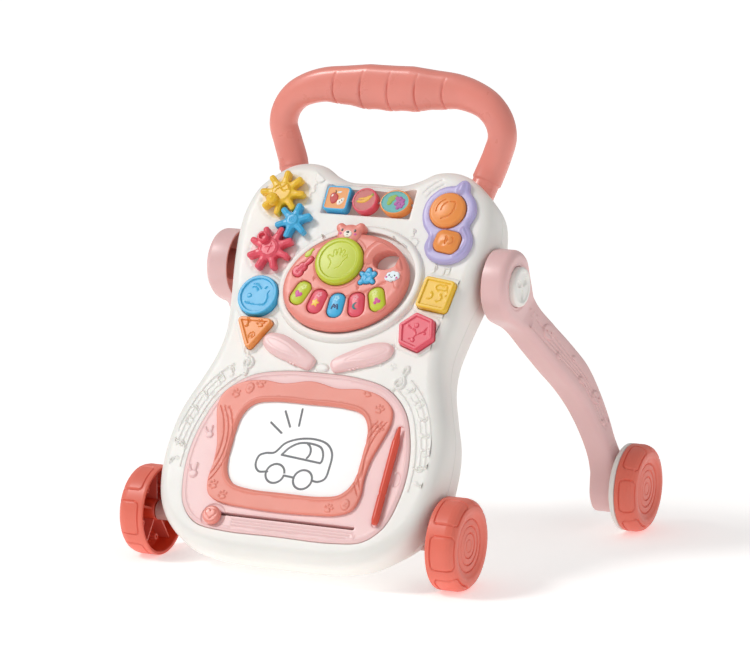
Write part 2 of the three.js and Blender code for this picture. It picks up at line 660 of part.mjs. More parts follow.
function buildBlocks() {
  const tints = {
    round_block: 'blue', triangle_block: 'orange', square_block: 'yellow', hexagon_block: 'crimson',
  };
  Object.entries(blockOutlines).forEach(([name, outline]) => {
    mesh(name, cap(outline, -block.pocket + GAP, block.height - block.pocket, 1.5), tints[name]);
  });
}

// ---------------------------------------------------------------- lift-off music toy

function keyOutlines() {
  const middle = new V2(toyAt.x - 1.5, toyAt.y + 67);
  return [-2, -1, 0, 1, 2].map((i) => {
    const turn = i * key.fan;
    const at = new V2(0, -key.fanRadius).rotateAround(new V2(), turn).add(middle);
    return rectangle(at.x, at.y, key.width / 2, key.length / 2, 5, turn);
  });
}

const violinOutline = () => rectangle(toyAt.x - 50, toyAt.y + 10, 4.5, 9, 4, degToRad(-38));
const tambourineOutline = () => circle(tambourineAt.x, tambourineAt.y, tambourine.radius, 16);

function buildToy() {
  const seatGap = 0.4;
  const backTop = seatGap + 2.6;
  const low = backTop + GAP;
  const grip = circle(toyAt.x + 40, toyAt.y + 25, 26, 24);
  const hole = oval(toyAt.x + 40, toyAt.y + 26, 14, 10.5, toy.tilt, 20);
  const head = cap(circle(toyAt.x - 8, toyAt.y + 50, 13, 16), toy.ringHeight + 0.4, toy.height + 2, 2);
  const ears = [[-20, 59], [2, 61]].map(([x, y]) => cap(circle(toyAt.x + x, toyAt.y + y, 5, 10), toy.ringHeight + 0.4,
    toy.height + 1, 1.5));
  const openings = [circle(drumAt.x, drumAt.y, drum.radius, 24), ...keyOutlines(), violinOutline(),
    tambourineOutline()];
  const casing = cut(
    plate(toyOutline(), [[low, 0], [toy.height - 4, 0], [toy.height, 3.5]]),
    plate(toyOutline(-toy.wall), [[low - 1, 0], [toy.height - 5, 0], [toy.height - toy.wall, 2]]),
  );
  const gripRing = cap(grip, toy.ringHeight + 0.4, toy.height, 2);
  const shell = cut(
    join(casing, gripRing, slab(inset(hole, -toy.wall), low, toy.height - 2), head, ...ears),
    ...openings.map((line) => slab(inset(line, -FIT), -1, toy.height + 5)),
    slab(hole, -1, toy.height + 5),
  );
  mesh('toy_shell', shell, 'salmon');
  mesh('toy_back', cut(slab(toyOutline(-1), seatGap, backTop), slab(hole, -1, toy.height)), 'salmon');

  const rest = backTop + key.travel + 0.4;
  mesh('drum_button', cap(circle(0, 0, drum.radius, 24), rest, drum.top, 2.5), 'green', panel,
    [drumAt.x, drumAt.y, 0]);
  const tints = ['green', 'crimson', 'blue', 'crimson', 'green'];
  keyOutlines().forEach((line, i) => {
    mesh(`piano_key_${i + 1}`, cap(line, rest, key.top, 2), tints[i]);
  });
  mesh('violin_button', cap(violinOutline(), rest, toy.height + 2.5, 1.5), 'crimson');
  mesh('tambourine_button', cap(tambourineOutline(), rest, toy.height + 2.5, 1.5), 'blue');
}

// ---------------------------------------------------------------- rabbit ears and drawing board

// An ear as a leaf shape along +X from its post, with a round root.
function earOutline() {
  const { length, width } = ear;
  return smooth([
    [-8, 0], [-5, -6.5], [2, -8], [length * 0.35, -width * 0.46], [length * 0.62, -width * 0.52],
    [length * 0.84, -width * 0.34], [length, 0], [length * 0.88, width * 0.24], [length * 0.62, width * 0.46],
    [length * 0.35, width * 0.5], [2, 8], [-5, 6.5],
  ], 28);
}

function buildEars() {
  [[-1, 'left'], [1, 'right']].forEach(([side, hand]) => {
    const turn = side > 0 ? degToRad(21) : degToRad(159);
    const outline = anticlockwise(earOutline().map((p) => new V2(p.x, p.y * side).rotateAround(new V2(), turn)));
    const shape = cut(cap(outline, GAP, ear.thickness, 2.5), rod('z', ear.post + GAP, 0, 4.3, [0, 0, 0], 10));
    const at = earAt(side);
    mesh(`rabbit_ear_${hand}`, shape, 'pink', panel, [at.x, at.y, 0]);
  });
}

const screenOutline = (grow) => {
  const middle = (screen.bottom + screen.top) / 2;
  return rectangle(lowerX(screen.offset), up(middle), screen.halfWide + grow, (screen.top - screen.bottom) / 2 + grow,
    screen.corner);
};

function frameOutline() {
  const half = [
    [0, 222], [30, 217], [55, 218.5], [79, 213], [94, 201], [97, 186], [92, 166], [86, 146], [84, 126], [85, 107],
    [80, 92], [66, 85], [35, 82], [0, 81],
  ].map(([x, y]) => [x, up(y)]);
  return mirrored(half, 44).map((p) => p.add(new V2(lowerX(screen.offset) - 3, 0)));
}

function buildBoard() {
  const low = -board.recess + GAP;
  const skinLow = board.proud - board.skin;
  const y = up(eraser.y);
  const slotFrom = eraser.start - 4;
  const slotTo = eraser.start + eraser.travel + 4;
  const slot = box(slotTo - slotFrom, eraser.slot, 20, [(slotFrom + slotTo) / 2, y, 0]);
  const pocket = slab(screenOutline(screen.lap + FIT), -20, 20);
  const grooveLength = pen.length + 3;
  const groove = box(pen.radius * 2 + 1.4, grooveLength, 10, [pen.x, up(pen.y) + pen.length / 2, 5.2]);
  const base = cut(
    plate(boardOutline(), [[low, 0], [board.proud - 1, 0], [board.proud, 1]]),
    slab(inset(boardOutline(), 4), low - 1, skinLow),
    pocket, slot, groove,
  );
  mesh('board_base', base, 'pink');

  const frameLow = board.proud + GAP;
  const frameHigh = frameLow + board.frame;
  mesh('board_frame', cut(
    cap(frameOutline(), frameLow, frameHigh, 1.2),
    slab(screenOutline(0), 0, 10),
  ), 'salmon');
  mesh('drawing_screen', slab(screenOutline(screen.lap), skinLow + 0.6, board.proud), 'screen');

  const knobLow = board.proud + GAP;
  const knobAt = [eraser.start, y - 4];
  const bar = join(
    cap(circle(...knobAt, eraser.knob, 20), knobLow, knobLow + 7, 1.5),
    box(8, eraser.slot - 2 * GAP, 9, [eraser.start, y, -1.6]),
    box(4, up(screen.top) - y + 2, 1.6, [eraser.start, (up(screen.top) + y) / 2, skinLow - 2]),
  );
  mesh('eraser_slider', bar, 'salmon');

  const barrel = lathe([
    [0, 0], [pen.radius * 0.5, 0], [pen.radius, 5], [pen.radius, pen.length - 14], [1.6, pen.length - 3],
    [1.2, pen.length], [0, pen.length],
  ], 12);
  mesh('magnet_pen', barrel, 'red', panel, [pen.x, up(pen.y), 4.9]);
}

// ---------------------------------------------------------------- assembly

const root = new THREE.Group();
const world = new THREE.Group();
root.add(world);
world.add(panel);

mesh('front_shell', frontShell(), 'white');
mesh('rear_shell', rearShell(), 'white');
mesh('handle', handleSolid(0), 'salmon', world);
buildInside();
buildRunningGear(world);
buildTiles();
buildGears();
buildBear();
buildBlocks();
buildToy();
buildEars();
buildBoard();

// The footprint's centre becomes the origin.
root.updateMatrixWorld(true);
const extent = new THREE.Box3().setFromObject(world, true);
world.position.set(0, -(extent.min.y + extent.max.y) / 2, 0);

export default root;
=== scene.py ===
"""Looks of a push-along baby walker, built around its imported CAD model.

Shapes are worked out in millimetres. A place on the play panel is x across, y up the panel and z
out of its face, as on the real part; PANEL turns such a place into the row frame, in metres.
"""

import math

import bmesh
import bpy
import numpy as np
from mathutils import Matrix, Vector, geometry, kdtree


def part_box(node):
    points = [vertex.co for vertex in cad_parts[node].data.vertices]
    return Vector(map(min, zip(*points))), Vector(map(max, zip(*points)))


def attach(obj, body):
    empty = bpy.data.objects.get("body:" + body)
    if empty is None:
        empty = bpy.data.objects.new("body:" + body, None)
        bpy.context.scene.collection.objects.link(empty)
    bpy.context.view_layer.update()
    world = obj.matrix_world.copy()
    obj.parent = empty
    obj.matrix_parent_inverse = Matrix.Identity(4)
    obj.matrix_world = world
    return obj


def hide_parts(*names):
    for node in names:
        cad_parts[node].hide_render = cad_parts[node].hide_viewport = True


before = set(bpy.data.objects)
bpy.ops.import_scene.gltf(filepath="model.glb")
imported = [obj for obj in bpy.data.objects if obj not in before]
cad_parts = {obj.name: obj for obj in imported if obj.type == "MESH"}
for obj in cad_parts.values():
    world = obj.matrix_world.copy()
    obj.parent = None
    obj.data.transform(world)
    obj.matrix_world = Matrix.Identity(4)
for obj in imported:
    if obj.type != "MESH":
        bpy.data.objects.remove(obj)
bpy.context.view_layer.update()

MM = 0.001
TAU = 2 * math.pi

# ---------------------------------------------------------------- frames and driving sizes


def middle(node):
    """The centre of a CAD node's box, in millimetres."""
    low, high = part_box(node)
    return np.array((low + high) / 2) / MM


LEAN = math.radians(34)
SETBACK = 86                      # front axle to where the panel plane meets the floor
AXLE = middle("front_axle")
FOOT = 32                         # lowest point of the panel
LENGTH = 421                      # and up to the saddle between the two bumps
TOP = FOOT + LENGTH
PARTING = -30                     # where the front and rear shells meet
FIT = 0.5

WORLD = Matrix.Translation((0, AXLE[1] * MM, 0)) @ Matrix.Scale(MM, 4)
PANEL = WORLD @ Matrix.Translation((0, -SETBACK, 0)) @ Matrix.Rotation(math.pi / 2 - LEAN, 4, "X")


def up(y):
    """A height drawn on a 420 mm panel, on this panel."""
    return FOOT + (y - FOOT) * LENGTH / 420


def at_place(x, y, z):
    """The frame of a piece drawn about a place in the row frame, in millimetres."""
    return Matrix.Translation(Vector((x, y, z)) * MM) @ Matrix.Scale(MM, 4)


def outwards(node):
    """How far from the middle a side piece starts and ends, in millimetres."""
    low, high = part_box(node)
    return sorted((abs(low[0]) / MM, abs(high[0]) / MM))


def on_panel(node):
    """A CAD node's lowest and highest corners in the panel's own directions, in millimetres."""
    back = np.array(PANEL.inverted())
    corners = np.array([v.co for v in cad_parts[node].data.vertices])
    corners = corners @ back[:3, :3].T + back[:3, 3]
    return corners.min(0), corners.max(0)


def spot(node):
    """The middle of a CAD node, across and up the panel."""
    low, high = on_panel(node)
    return (low + high)[:2] / 2


# ---------------------------------------------------------------- lines and outlines


def anticlockwise(line):
    x, y = line[:, 0], line[:, 1]
    area = np.sum(x * np.roll(y, -1) - np.roll(x, -1) * y)
    return line[::-1] if area < 0 else line


def spline(points, count, closed=False):
    """Evenly spaced points on a centripetal Catmull-Rom curve."""
    p = np.array(points, float)
    if closed:
        p = np.vstack([p[-1], p, p[:2]])
    else:
        p = np.vstack([2 * p[0] - p[1], p, 2 * p[-1] - p[-2]])
    fine = np.linspace(0, 1, 24, endpoint=False)[:, None]
    parts = []
    for p0, p1, p2, p3 in zip(p, p[1:], p[2:], p[3:]):
        d0, d1, d2 = (max(np.sum((b - a) ** 2) ** 0.25, 1e-4) for a,
                      b in ((p0, p1), (p1, p2), (p2, p3)))
        m1 = ((p1 - p0) / d0 - (p2 - p0) / (d0 + d1) + (p2 - p1) / d1) * d1
        m2 = ((p2 - p1) / d1 - (p3 - p1) / (d1 + d2) + (p3 - p2) / d2) * d1
        c2 = -3 * p1 + 3 * p2 - 2 * m1 - m2
        c3 = 2 * p1 - 2 * p2 + m1 + m2
        parts.append(p1 + m1 * fine + c2 * fine ** 2 + c3 * fine ** 3)
    line = np.vstack([*parts, p[-2]])
    return even(line, count, closed)


def even(line, count, closed=False):
    """The same line with evenly spaced points."""
    steps = np.linalg.norm(np.diff(line, axis=0), axis=1)
    along = np.concatenate([[0], np.cumsum(steps)])
    want = np.linspace(0, along[-1], count + (1 if closed else 0))
    line = np.stack([np.interp(want, along, line[:, k]) for k in range(line.shape[1])], 1)
    return line[:-1] if closed else line


def smooth(points, count):
    return anticlockwise(spline(points, count, closed=True))


def mirrored(half, count):
    return smooth([*half, *[(-x, y) for x, y in half[-2:0:-1]]], count)


def turned(line, angle, at=(0, 0)):
    c, s = math.cos(angle), math.sin(angle)
    return np.array(line) @ np.array([[c, s], [-s, c]]) + np.array(at)


def arc(x, y, radius, start, end, count=24):
    t = np.radians(np.linspace(start, end, count))
    return np.stack([x + radius * np.cos(t), y + radius * np.sin(t)], 1)


def oval(x, y, a, b, tilt=0.0, count=96):
    t = np.linspace(0, TAU, count, endpoint=False)
    return turned(np.stack([a * np.cos(t), b * np.sin(t)], 1), tilt, (x, y))


def circle(x, y, radius, count=72):
    return oval(x, y, radius, radius, 0, count)


def rounded(corners, radius, steps=7):
    """A polygon with each corner replaced by an arc."""
    outline = []
    corners = np.array(corners, float)
    for i, corner in enumerate(corners):
        last = corners[i - 1] - corner
        after = corners[(i + 1) % len(corners)] - corner
        last, after = last / np.linalg.norm(last), after / np.linalg.norm(after)
        half = math.acos(np.clip(last @ after, -1, 1)) / 2
        inner = (last + after) / np.linalg.norm(last + after)
        centre = corner + inner * radius / math.sin(half)
        start = math.atan2(-inner[1], -inner[0])
        sweep = math.pi / 2 - half
        side = 1 if last[0] * after[1] - last[1] * after[0] < 0 else -1
        for k in range(steps + 1):
            t = start + side * sweep * (2 * k / steps - 1)
            outline.append(centre + radius * np.array([math.cos(t), math.sin(t)]))
    return anticlockwise(np.array(outline))


def rectangle(x, y, half_x, half_y, radius=2.0, tilt=0.0):
    corners = turned([(-half_x, -half_y), (half_x, -half_y), (half_x, half_y), (-half_x, half_y)],
                     tilt, (x, y))
    return dense(rounded(corners, radius))


def regular(sides, x, y, radius, turn, corner):
    t = turn + np.arange(sides) / sides * TAU
    return dense(rounded(np.stack([x + radius * np.cos(t), y + radius * np.sin(t)], 1), corner))


def dense(line, step=2.0):
    """Splits long straight stretches of a closed outline."""
    out = []
    for a, b in zip(line, np.roll(line, -1, 0)):
        parts = max(1, int(np.linalg.norm(b - a) / step))
        out += [a + (b - a) * k / parts for k in range(parts)]
    return np.array(out)


def inset(outline, distance):
    """The outline moved inwards by a distance, or outwards where it is negative."""
    if distance == 0:
        return outline
    before = outline - np.roll(outline, 1, 0)
    after = np.roll(outline, -1, 0) - outline
    before = before / np.linalg.norm(before, axis=1)[:, None]
    after = after / np.linalg.norm(after, axis=1)[:, None]
    total = before + after
    normal = np.stack([-total[:, 1], total[:, 0]], 1)
    moved = outline + normal * distance / np.maximum(1 + np.sum(before * after, 1), 0.3)[:, None]
    # A point that ends too near the outline has crossed over it. It goes between sound neighbours.
    run = np.roll(outline, -1, 0) - outline
    away = moved[:, None, :] - outline[None, :, :]
    share = np.clip(np.sum(away * run, 2) / np.maximum(np.sum(run * run, 1), 1e-9), 0, 1)
    gap = np.linalg.norm(away - share[..., None] * run, axis=2).min(1)
    good = np.where((gap > abs(distance) * 0.96) & (contains(outline, moved) == (distance > 0)))[0]
    if len(good) > 3:
        count = np.arange(len(outline))
        moved = np.stack([np.interp(count, good, moved[good, k], period=len(outline)) for k in (0,
            1)], 1)
    return moved


def contains(outline, points):
    """Whether each point lies inside a closed outline."""
    inside = np.zeros(len(points), bool)
    x, y = points[:, 0], points[:, 1]
    for (ax, ay), (bx, by) in zip(outline, np.roll(outline, -1, 0)):
        crosses = (ay > y) != (by > y)
        if crosses.any():
            inside ^= crosses & (x < (bx - ax) * (y - ay) / (by - ay if by != ay else 1e-9) + ax)
    return inside


# ---------------------------------------------------------------- raised and sunk marks


class Bead:
    """A raised line of round section, or a groove where its height is negative."""

    def __init__(self, line, radius, height):
        self.line, self.radius, self.height = np.array(line, float), radius, height

    def away(self, points):
        """How far each point is from the line, up to what matters."""
        reach = self.radius + 2
        low, high = self.line.min(0) - reach, self.line.max(0) + reach
        near = np.where(np.all((points > low) & (points < high), 1))[0]
        far = np.full(len(points), 1e9)
        p = points[near]
        best = np.full(len(p), 1e9)
        for a, b in zip(self.line, self.line[1:]):
            run = b - a
            share = np.clip(((p - a) @ run) / max(run @ run, 1e-9), 0, 1)
            best = np.minimum(best, np.linalg.norm(p - a - share[:, None] * run, axis=1))
        far[near] = best
        return far

    def lift(self, points):
        share = np.clip(self.away(points) / self.radius, 0, 1)
        return self.height * np.sqrt(1 - share ** 2) * (1 - 0.2 * share)


class Swell(Bead):
    """A raised line that blends softly into what is around it."""

    def lift(self, points):
        share = np.clip(self.away(points) / self.radius, 0, 1)
        return self.height * np.cos(share * math.pi / 2) ** 2


class Pad(Bead):
    """A raised area with a flat top and a soft edge, or a sunk one."""

    def __init__(self, outline, height, edge=1.0):
        closed = np.vstack([outline, outline[:1]])
        super().__init__(closed, edge, height)
        self.outline = np.array(outline, float)

    def lift(self, points):
        away = self.away(points)
        inside = contains(self.outline, points)
        depth = np.clip(np.where(inside, away, -away) / self.radius, 0, 1)
        return self.height * np.sqrt(1 - (1 - depth) ** 2)


def relief(marks, points):
    """Marks that rise don't add up where they cross, and neither do marks that sink."""
    rise, sink = np.zeros(len(points)), np.zeros(len(points))
    for mark in marks:
        lift = mark.lift(points)
        rise, sink = np.maximum(rise, lift), np.minimum(sink, lift)
    return rise + sink


def placed(marks, x, y, size=1.0, turn=0.0, height=1.0, flip=1):
    """A group of marks drawn about the origin, moved to its place. Size also scales the radii."""
    group = []
    for mark in marks:
        line = mark.outline if isinstance(mark, Pad) else mark.line
        line = turned(line * [flip * size, size], turn, (x, y))
        group.append(type(mark)(line, mark.radius * size, mark.height * height))
    return group


def closed(line):
    return np.vstack([line, line[:1]])


def note():
    flag = spline([(2.4, 10), (4.6, 8), (5.4, 5.6), (4.6, 3.6)], 12)
    return [Pad(oval(0, 0, 3.3, 2.7, 0.4, 24), 1.6, 0.8), Bead([(2.3, 0.6), (2.4, 10)], 0.95, 1.4),
            Bead(flag, 1.1, 1.4)]


def beamed():
    heads = [Pad(oval(x, y, 3.1, 2.6, 0.4, 24), 1.6, 0.8) for x, y in ((0, 0), (8, 1.5))]
    stems = [Bead([(x + 2.1, y + 0.5), (x + 2.1, y + 9)], 0.9, 1.4) for x, y in ((0, 0), (8, 1.5))]
    return [*heads, *stems, Bead([(2.1, 9), (10.1, 10.5)], 1.5, 1.4)]


def clef():
    line = spline([
        (1, 0), (3, 2.2), (1, 4.6), (-2.6, 3.6), (-4, 0), (-2, -4), (2.4, -4.6), (5.6, -1.6),
        (5.6, 3),
        (2.6, 7), (-1.4, 10.5), (-2.2, 15), (0.4, 18.4), (2.4, 15.5), (1.6, 10), (0, 0), (-1.6, -9),
        (-3.4, -11.4), (-5.2, -9.6),
    ], 70)
    return [Bead(line, 1.55, 1.8)]


def paw():
    toes = [(-3.6, 1.6), (-1.4, 3.9), (1.4, 3.9), (3.6, 1.6)]
    pad = smooth([(-2.6, -2.2), (0, -2.9), (2.6, -2.2), (2.2, 0.2), (0, 1.5), (-2.2, 0.2)], 24)
    return [Pad(pad, 1.2, 0.7), *[Pad(oval(x, y, 1.0, 1.4, -0.15 * x, 14), 1.2, 0.6) for x,
                                  y in toes]]


def bunny():
    ears = [Bead(spline([(s * 1.2, 2), (s * 2.8, 5.5), (s * 3.8, 9)], 8), 1.3, 1.5) for s in (-1,
                                                                                              1)]
    return [Pad(oval(0, 0, 4.2, 3.6, 0, 24), 1.6, 1.6), *ears]


def balloon():
    string = spline([(0, -9), (-1.6, -13), (1.4, -18), (-1, -22), (0.8, -26)], 20)
    net = [Bead([(a, -5.5), (a * 0.4, 6.5)], 0.35, 0.35) for a in (-4, -1.5, 1.5, 4)]
    return [Pad(oval(0, 0, 6.6, 8.4, 0, 32), 0.8, 1.2), Bead(string, 0.45, 0.7), *net]


def heart():
    t = np.linspace(0, TAU, 36, endpoint=False)
    x = 16 * np.sin(t) ** 3
    y = 13 * np.cos(t) - 5 * np.cos(2 * t) - 2 * np.cos(3 * t) - np.cos(4 * t)
    return np.stack([x, y], 1) / 16


def star(points=5, inner=0.5):
    t = np.arange(points * 2) / (points * 2) * TAU + math.pi / 2
    r = np.where(np.arange(points * 2) % 2 == 0, 1, inner)
    return rounded(np.stack([r * np.cos(t), r * np.sin(t)], 1), 0.08, 3)


def cloud():
    puffs = [(-4.2, -0.6, 2.6), (-2.4, 1.8, 2.6), (0.9, 2.4, 2.7), (3.9, 1.1, 2.6),
             (4.6, -1.2, 2.2), (1.8, -2.1, 2.4),
             (-1.6, -2.0, 2.4)]
    return around([oval(0, 0, 4.6, 2.8), *[circle(*puff, 30) for puff in puffs]],
                  np.array([0.0, 0.0]), 120, 3)


# ---------------------------------------------------------------- skins


class Skin:
    """Points in millimetres, with faces and each face's material number."""

    def __init__(self):
        self.points, self.faces, self.tints = [], [], []

    def add(self, points, faces, tint=0):
        base = len(self.points)
        self.points += [tuple(p) for p in points]
        self.faces += [tuple(base + i for i in f) for f in faces]
        self.tints += list(tint) if hasattr(tint, "__len__") else [tint] * len(faces)
        return self

    def loft(self, rings, tint=0, first=None, last=None):
        """Quads between rings of equal length. first and last say how an end is closed."""
        n = len(rings[0])
        faces = [
            (i * n + j, i * n + (j + 1) % n, (i + 1) * n + (j + 1) % n, (i + 1) * n + j)
            for i in range(len(rings) - 1) for j in range(n)
        ]
        points = list(np.vstack(rings))
        for ring, how in ((0, first), (len(rings) - 1, last)):
            loop = list(range(ring * n, ring * n + n))
            if how == "flat":
                faces.append(tuple(loop[::-1] if ring == 0 else loop))
            elif how == "fan":
                points.append(np.mean(rings[ring], 0))
                pairs = zip(loop, loop[1:] + loop[:1])
                centre = len(points) - 1
                faces += [(centre, b, a) if ring == 0 else (centre, a, b) for a, b in pairs]
        return self.add(points, faces, tint)


def at_height(outline, z):
    """An outline as a ring of places. z is a number, or one number for each point."""
    return np.column_stack([outline, np.broadcast_to(z, len(outline))])


def hexagrid(low, high, step):
    xs = np.arange(low[0], high[0] + step, step)
    ys = np.arange(low[1], high[1] + step, step * 0.866)
    x, y = np.meshgrid(xs, ys)
    x = x + (np.arange(len(ys)) % 2)[:, None] * step / 2
    return np.stack([x.ravel(), y.ravel()], 1)


def fill(outline, step, holes=(), loops=(), marks=(), fine=0.7):
    """Triangles over an outline less its holes, keeping the loops' edges and closer by the marks."""
    fixed = [outline, *holes, *loops]
    edges, count = [], 0
    for ring in fixed:
        edges += [(count + i, count + (i + 1) % len(ring)) for i in range(len(ring))]
        count += len(ring)
    fixed = np.vstack(fixed)
    spots = hexagrid(outline.min(0), outline.max(0), step)
    close = hexagrid(outline.min(0), outline.max(0), fine)
    near, by_mark = np.zeros(len(spots), bool), np.zeros(len(close), bool)
    for mark in marks:
        reach = mark.radius + fine
        near |= mark.away(spots) < reach
        by_mark |= mark.away(close) < reach
    spots = np.vstack([spots[~near], close[by_mark]])
    room = np.concatenate([np.full(int((~near).sum()), step * 0.45),
                           np.full(int(by_mark.sum()), fine * 0.6)])
    keep = contains(outline, spots)
    for hole in holes:
        keep &= ~contains(hole, spots)
    spots, room = spots[keep], room[keep]
    tree = kdtree.KDTree(len(fixed))
    for i, p in enumerate(fixed):
        tree.insert((*p, 0), i)
    tree.balance()
    keep = [tree.find((*p, 0))[2] > r for p, r in zip(spots, room)]
    points = np.vstack([fixed, spots[keep]])
    made = geometry.delaunay_2d_cdt([Vector(p) for p in points], edges, [], 1, 1e-6)
    points, faces = np.array([tuple(p) for p in made[0]]), made[2]
    centres = np.array([points[list(f)].mean(0) for f in faces])
    keep = contains(outline, centres)
    for hole in holes:
        keep &= ~contains(hole, centres)
    return points, [f for f, k in zip(faces, keep) if k], centres[keep]


def edge_profile(low, high, soft, steps=6):
    """Heights and insets up a wall and round a quarter circle at its top."""
    t = np.linspace(0, math.pi / 2, steps + 1)
    return [(low, 0)] + [(high - soft * (1 - math.sin(a)), soft * (1 - math.cos(a))) for a in t]


def plate(outline, low, high, soft=1.0, marks=(), holes=(), patches=(), step=2.5, fine=0.6,
          dome=0.0, skin=None,
          tint=0, lip=0.5):
    """A solid over an outline with a rounded top edge. Its top can carry marks, coloured patches,
    holes that go right through and a slight dome. A patch is an outline, its material number and how
    far it rises."""
    skin = skin or Skin()
    under = min(0.5, (high - low) * 0.2)
    rings = [at_height(inset(outline, under), low)]
    rings += [at_height(inset(outline, by), z) for z, by in edge_profile(low + under, high, soft)]
    skin.loft(rings, tint)
    rim = inset(outline, soft)
    marks = [*marks, *[Pad(line, rise, 0.3) for line, _, rise in patches if rise]]
    mouths = [inset(hole, -lip) for hole in holes]
    points, faces, centres = fill(rim, step, mouths, [line for line, _, _ in patches], marks, fine)

    border = Bead(closed(rim), 2.5, 1)

    def top(places):
        """The marks and the dome fade out at the rim, where the rounded edge takes over."""
        away = np.linalg.norm(places - rim.mean(0), axis=1) / np.linalg.norm(rim - rim.mean(0),
                                                                             axis=1).max()
        share = np.clip(border.away(places) / border.radius, 0, 1)
        return high + (relief(marks, places) + dome * np.clip(1 - away ** 2, 0,
                                                              1)) * share * (2 - share)

    tints = np.full(len(faces), tint)
    for line, patch_tint, _ in patches:
        tints[contains(line, centres)] = patch_tint
    skin.add(at_height(points, top(points)), faces, tints)
    for hole, mouth in zip(holes, mouths):
        t = np.linspace(0, math.pi / 2, 4)
        walls = [at_height(inset(hole, -lip * (1 - math.sin(a))),
                           top(mouth) - lip * (1 - math.cos(a))) for a in t]
        skin.loft([*walls, at_height(hole, low)], tint)
    base, faces, _ = fill(rings[0][:, :2], 1000, holes)
    skin.add(at_height(base, low), [f[::-1] for f in faces], tint)
    return skin


def well(skin, outline, brim, depth, lip=0.7, tint=0, foot=None):
    """A sunk pocket: a rounded lip, walls and a flat floor. brim is the height around it."""
    t = np.linspace(0, math.pi / 2, 5)
    rings = [
        at_height(inset(outline, -lip * (1 - math.sin(a))),
                  brim - lip * (1 - math.cos(a))) for a in t
    ]
    rings.append(at_height(outline if foot is None else foot, depth))
    skin.loft(rings, tint, last="flat")


def lathe(profile, side, segments, tint=0, skin=None):
    """A turned solid about X. The profile is radius and how far out along the axle."""
    skin = skin or Skin()
    t = np.linspace(0, TAU, segments, endpoint=False)
    rings = [np.stack([np.full(segments, side * x), r * np.cos(t), r * np.sin(t)], 1) for r,
             x in profile]
    for pair in zip(rings, rings[1:]):
        skin.loft(pair, tint)
    return skin


def softened(profile, radius, steps=4):
    """A turned profile, each of its inner corners rounded."""
    p = np.array(profile, float)
    out = [p[0]]
    for a, b, c in zip(p, p[1:], p[2:]):
        one, two = a - b, c - b
        room = min(radius, 0.45 * np.linalg.norm(one), 0.45 * np.linalg.norm(two))
        start = b + one / np.linalg.norm(one) * room
        end = b + two / np.linalg.norm(two) * room
        for k in range(steps + 1):
            s = k / steps
            out.append((1 - s) ** 2 * start + 2 * s * (1 - s) * b + s ** 2 * end)
    return [*out, p[-1]]


def piece(node, skin, finishes, body, place=PANEL, sharp=38, covers=True):
    """Makes the skin an object riding on a CAD body, in place of the CAD node that it covers."""
    name = f"{node}_skin" if covers else node
    mesh = bpy.data.meshes.new(name)
    mesh.from_pydata(skin.points, [], skin.faces)
    for finish in [finishes] if isinstance(finishes, str) else finishes:
        mesh.materials.append(M[finish])
    mesh.polygons.foreach_set("material_index", skin.tints)
    mesh.transform(place)
    obj = bpy.data.objects.new(name, mesh)
    bpy.context.scene.collection.objects.link(obj)
    tidy(mesh)
    mesh.shade_smooth()
    mesh.set_sharp_from_angle(angle=math.radians(sharp))
    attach(obj, body)
    if covers:
        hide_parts(node)


def tidy(mesh):
    """Welds points that coincide, drops faces with no area and turns the rest outwards."""
    bm = bmesh.new()
    bm.from_mesh(mesh)
    bmesh.ops.remove_doubles(bm, verts=bm.verts, dist=2e-6)
    bmesh.ops.dissolve_degenerate(bm, edges=bm.edges, dist=1e-6)
    bmesh.ops.recalc_face_normals(bm, faces=bm.faces)
    bm.to_mesh(mesh)
    bm.free()


# ---------------------------------------------------------------- materials


def colour(code):
    """A linear colour from an sRGB hex code."""
    parts = [int(code[i:i + 2], 16) / 255 for i in (1, 3, 5)]
    return [c / 12.92 if c <= 0.04045 else ((c + 0.055) / 1.055) ** 2.4 for c in parts]


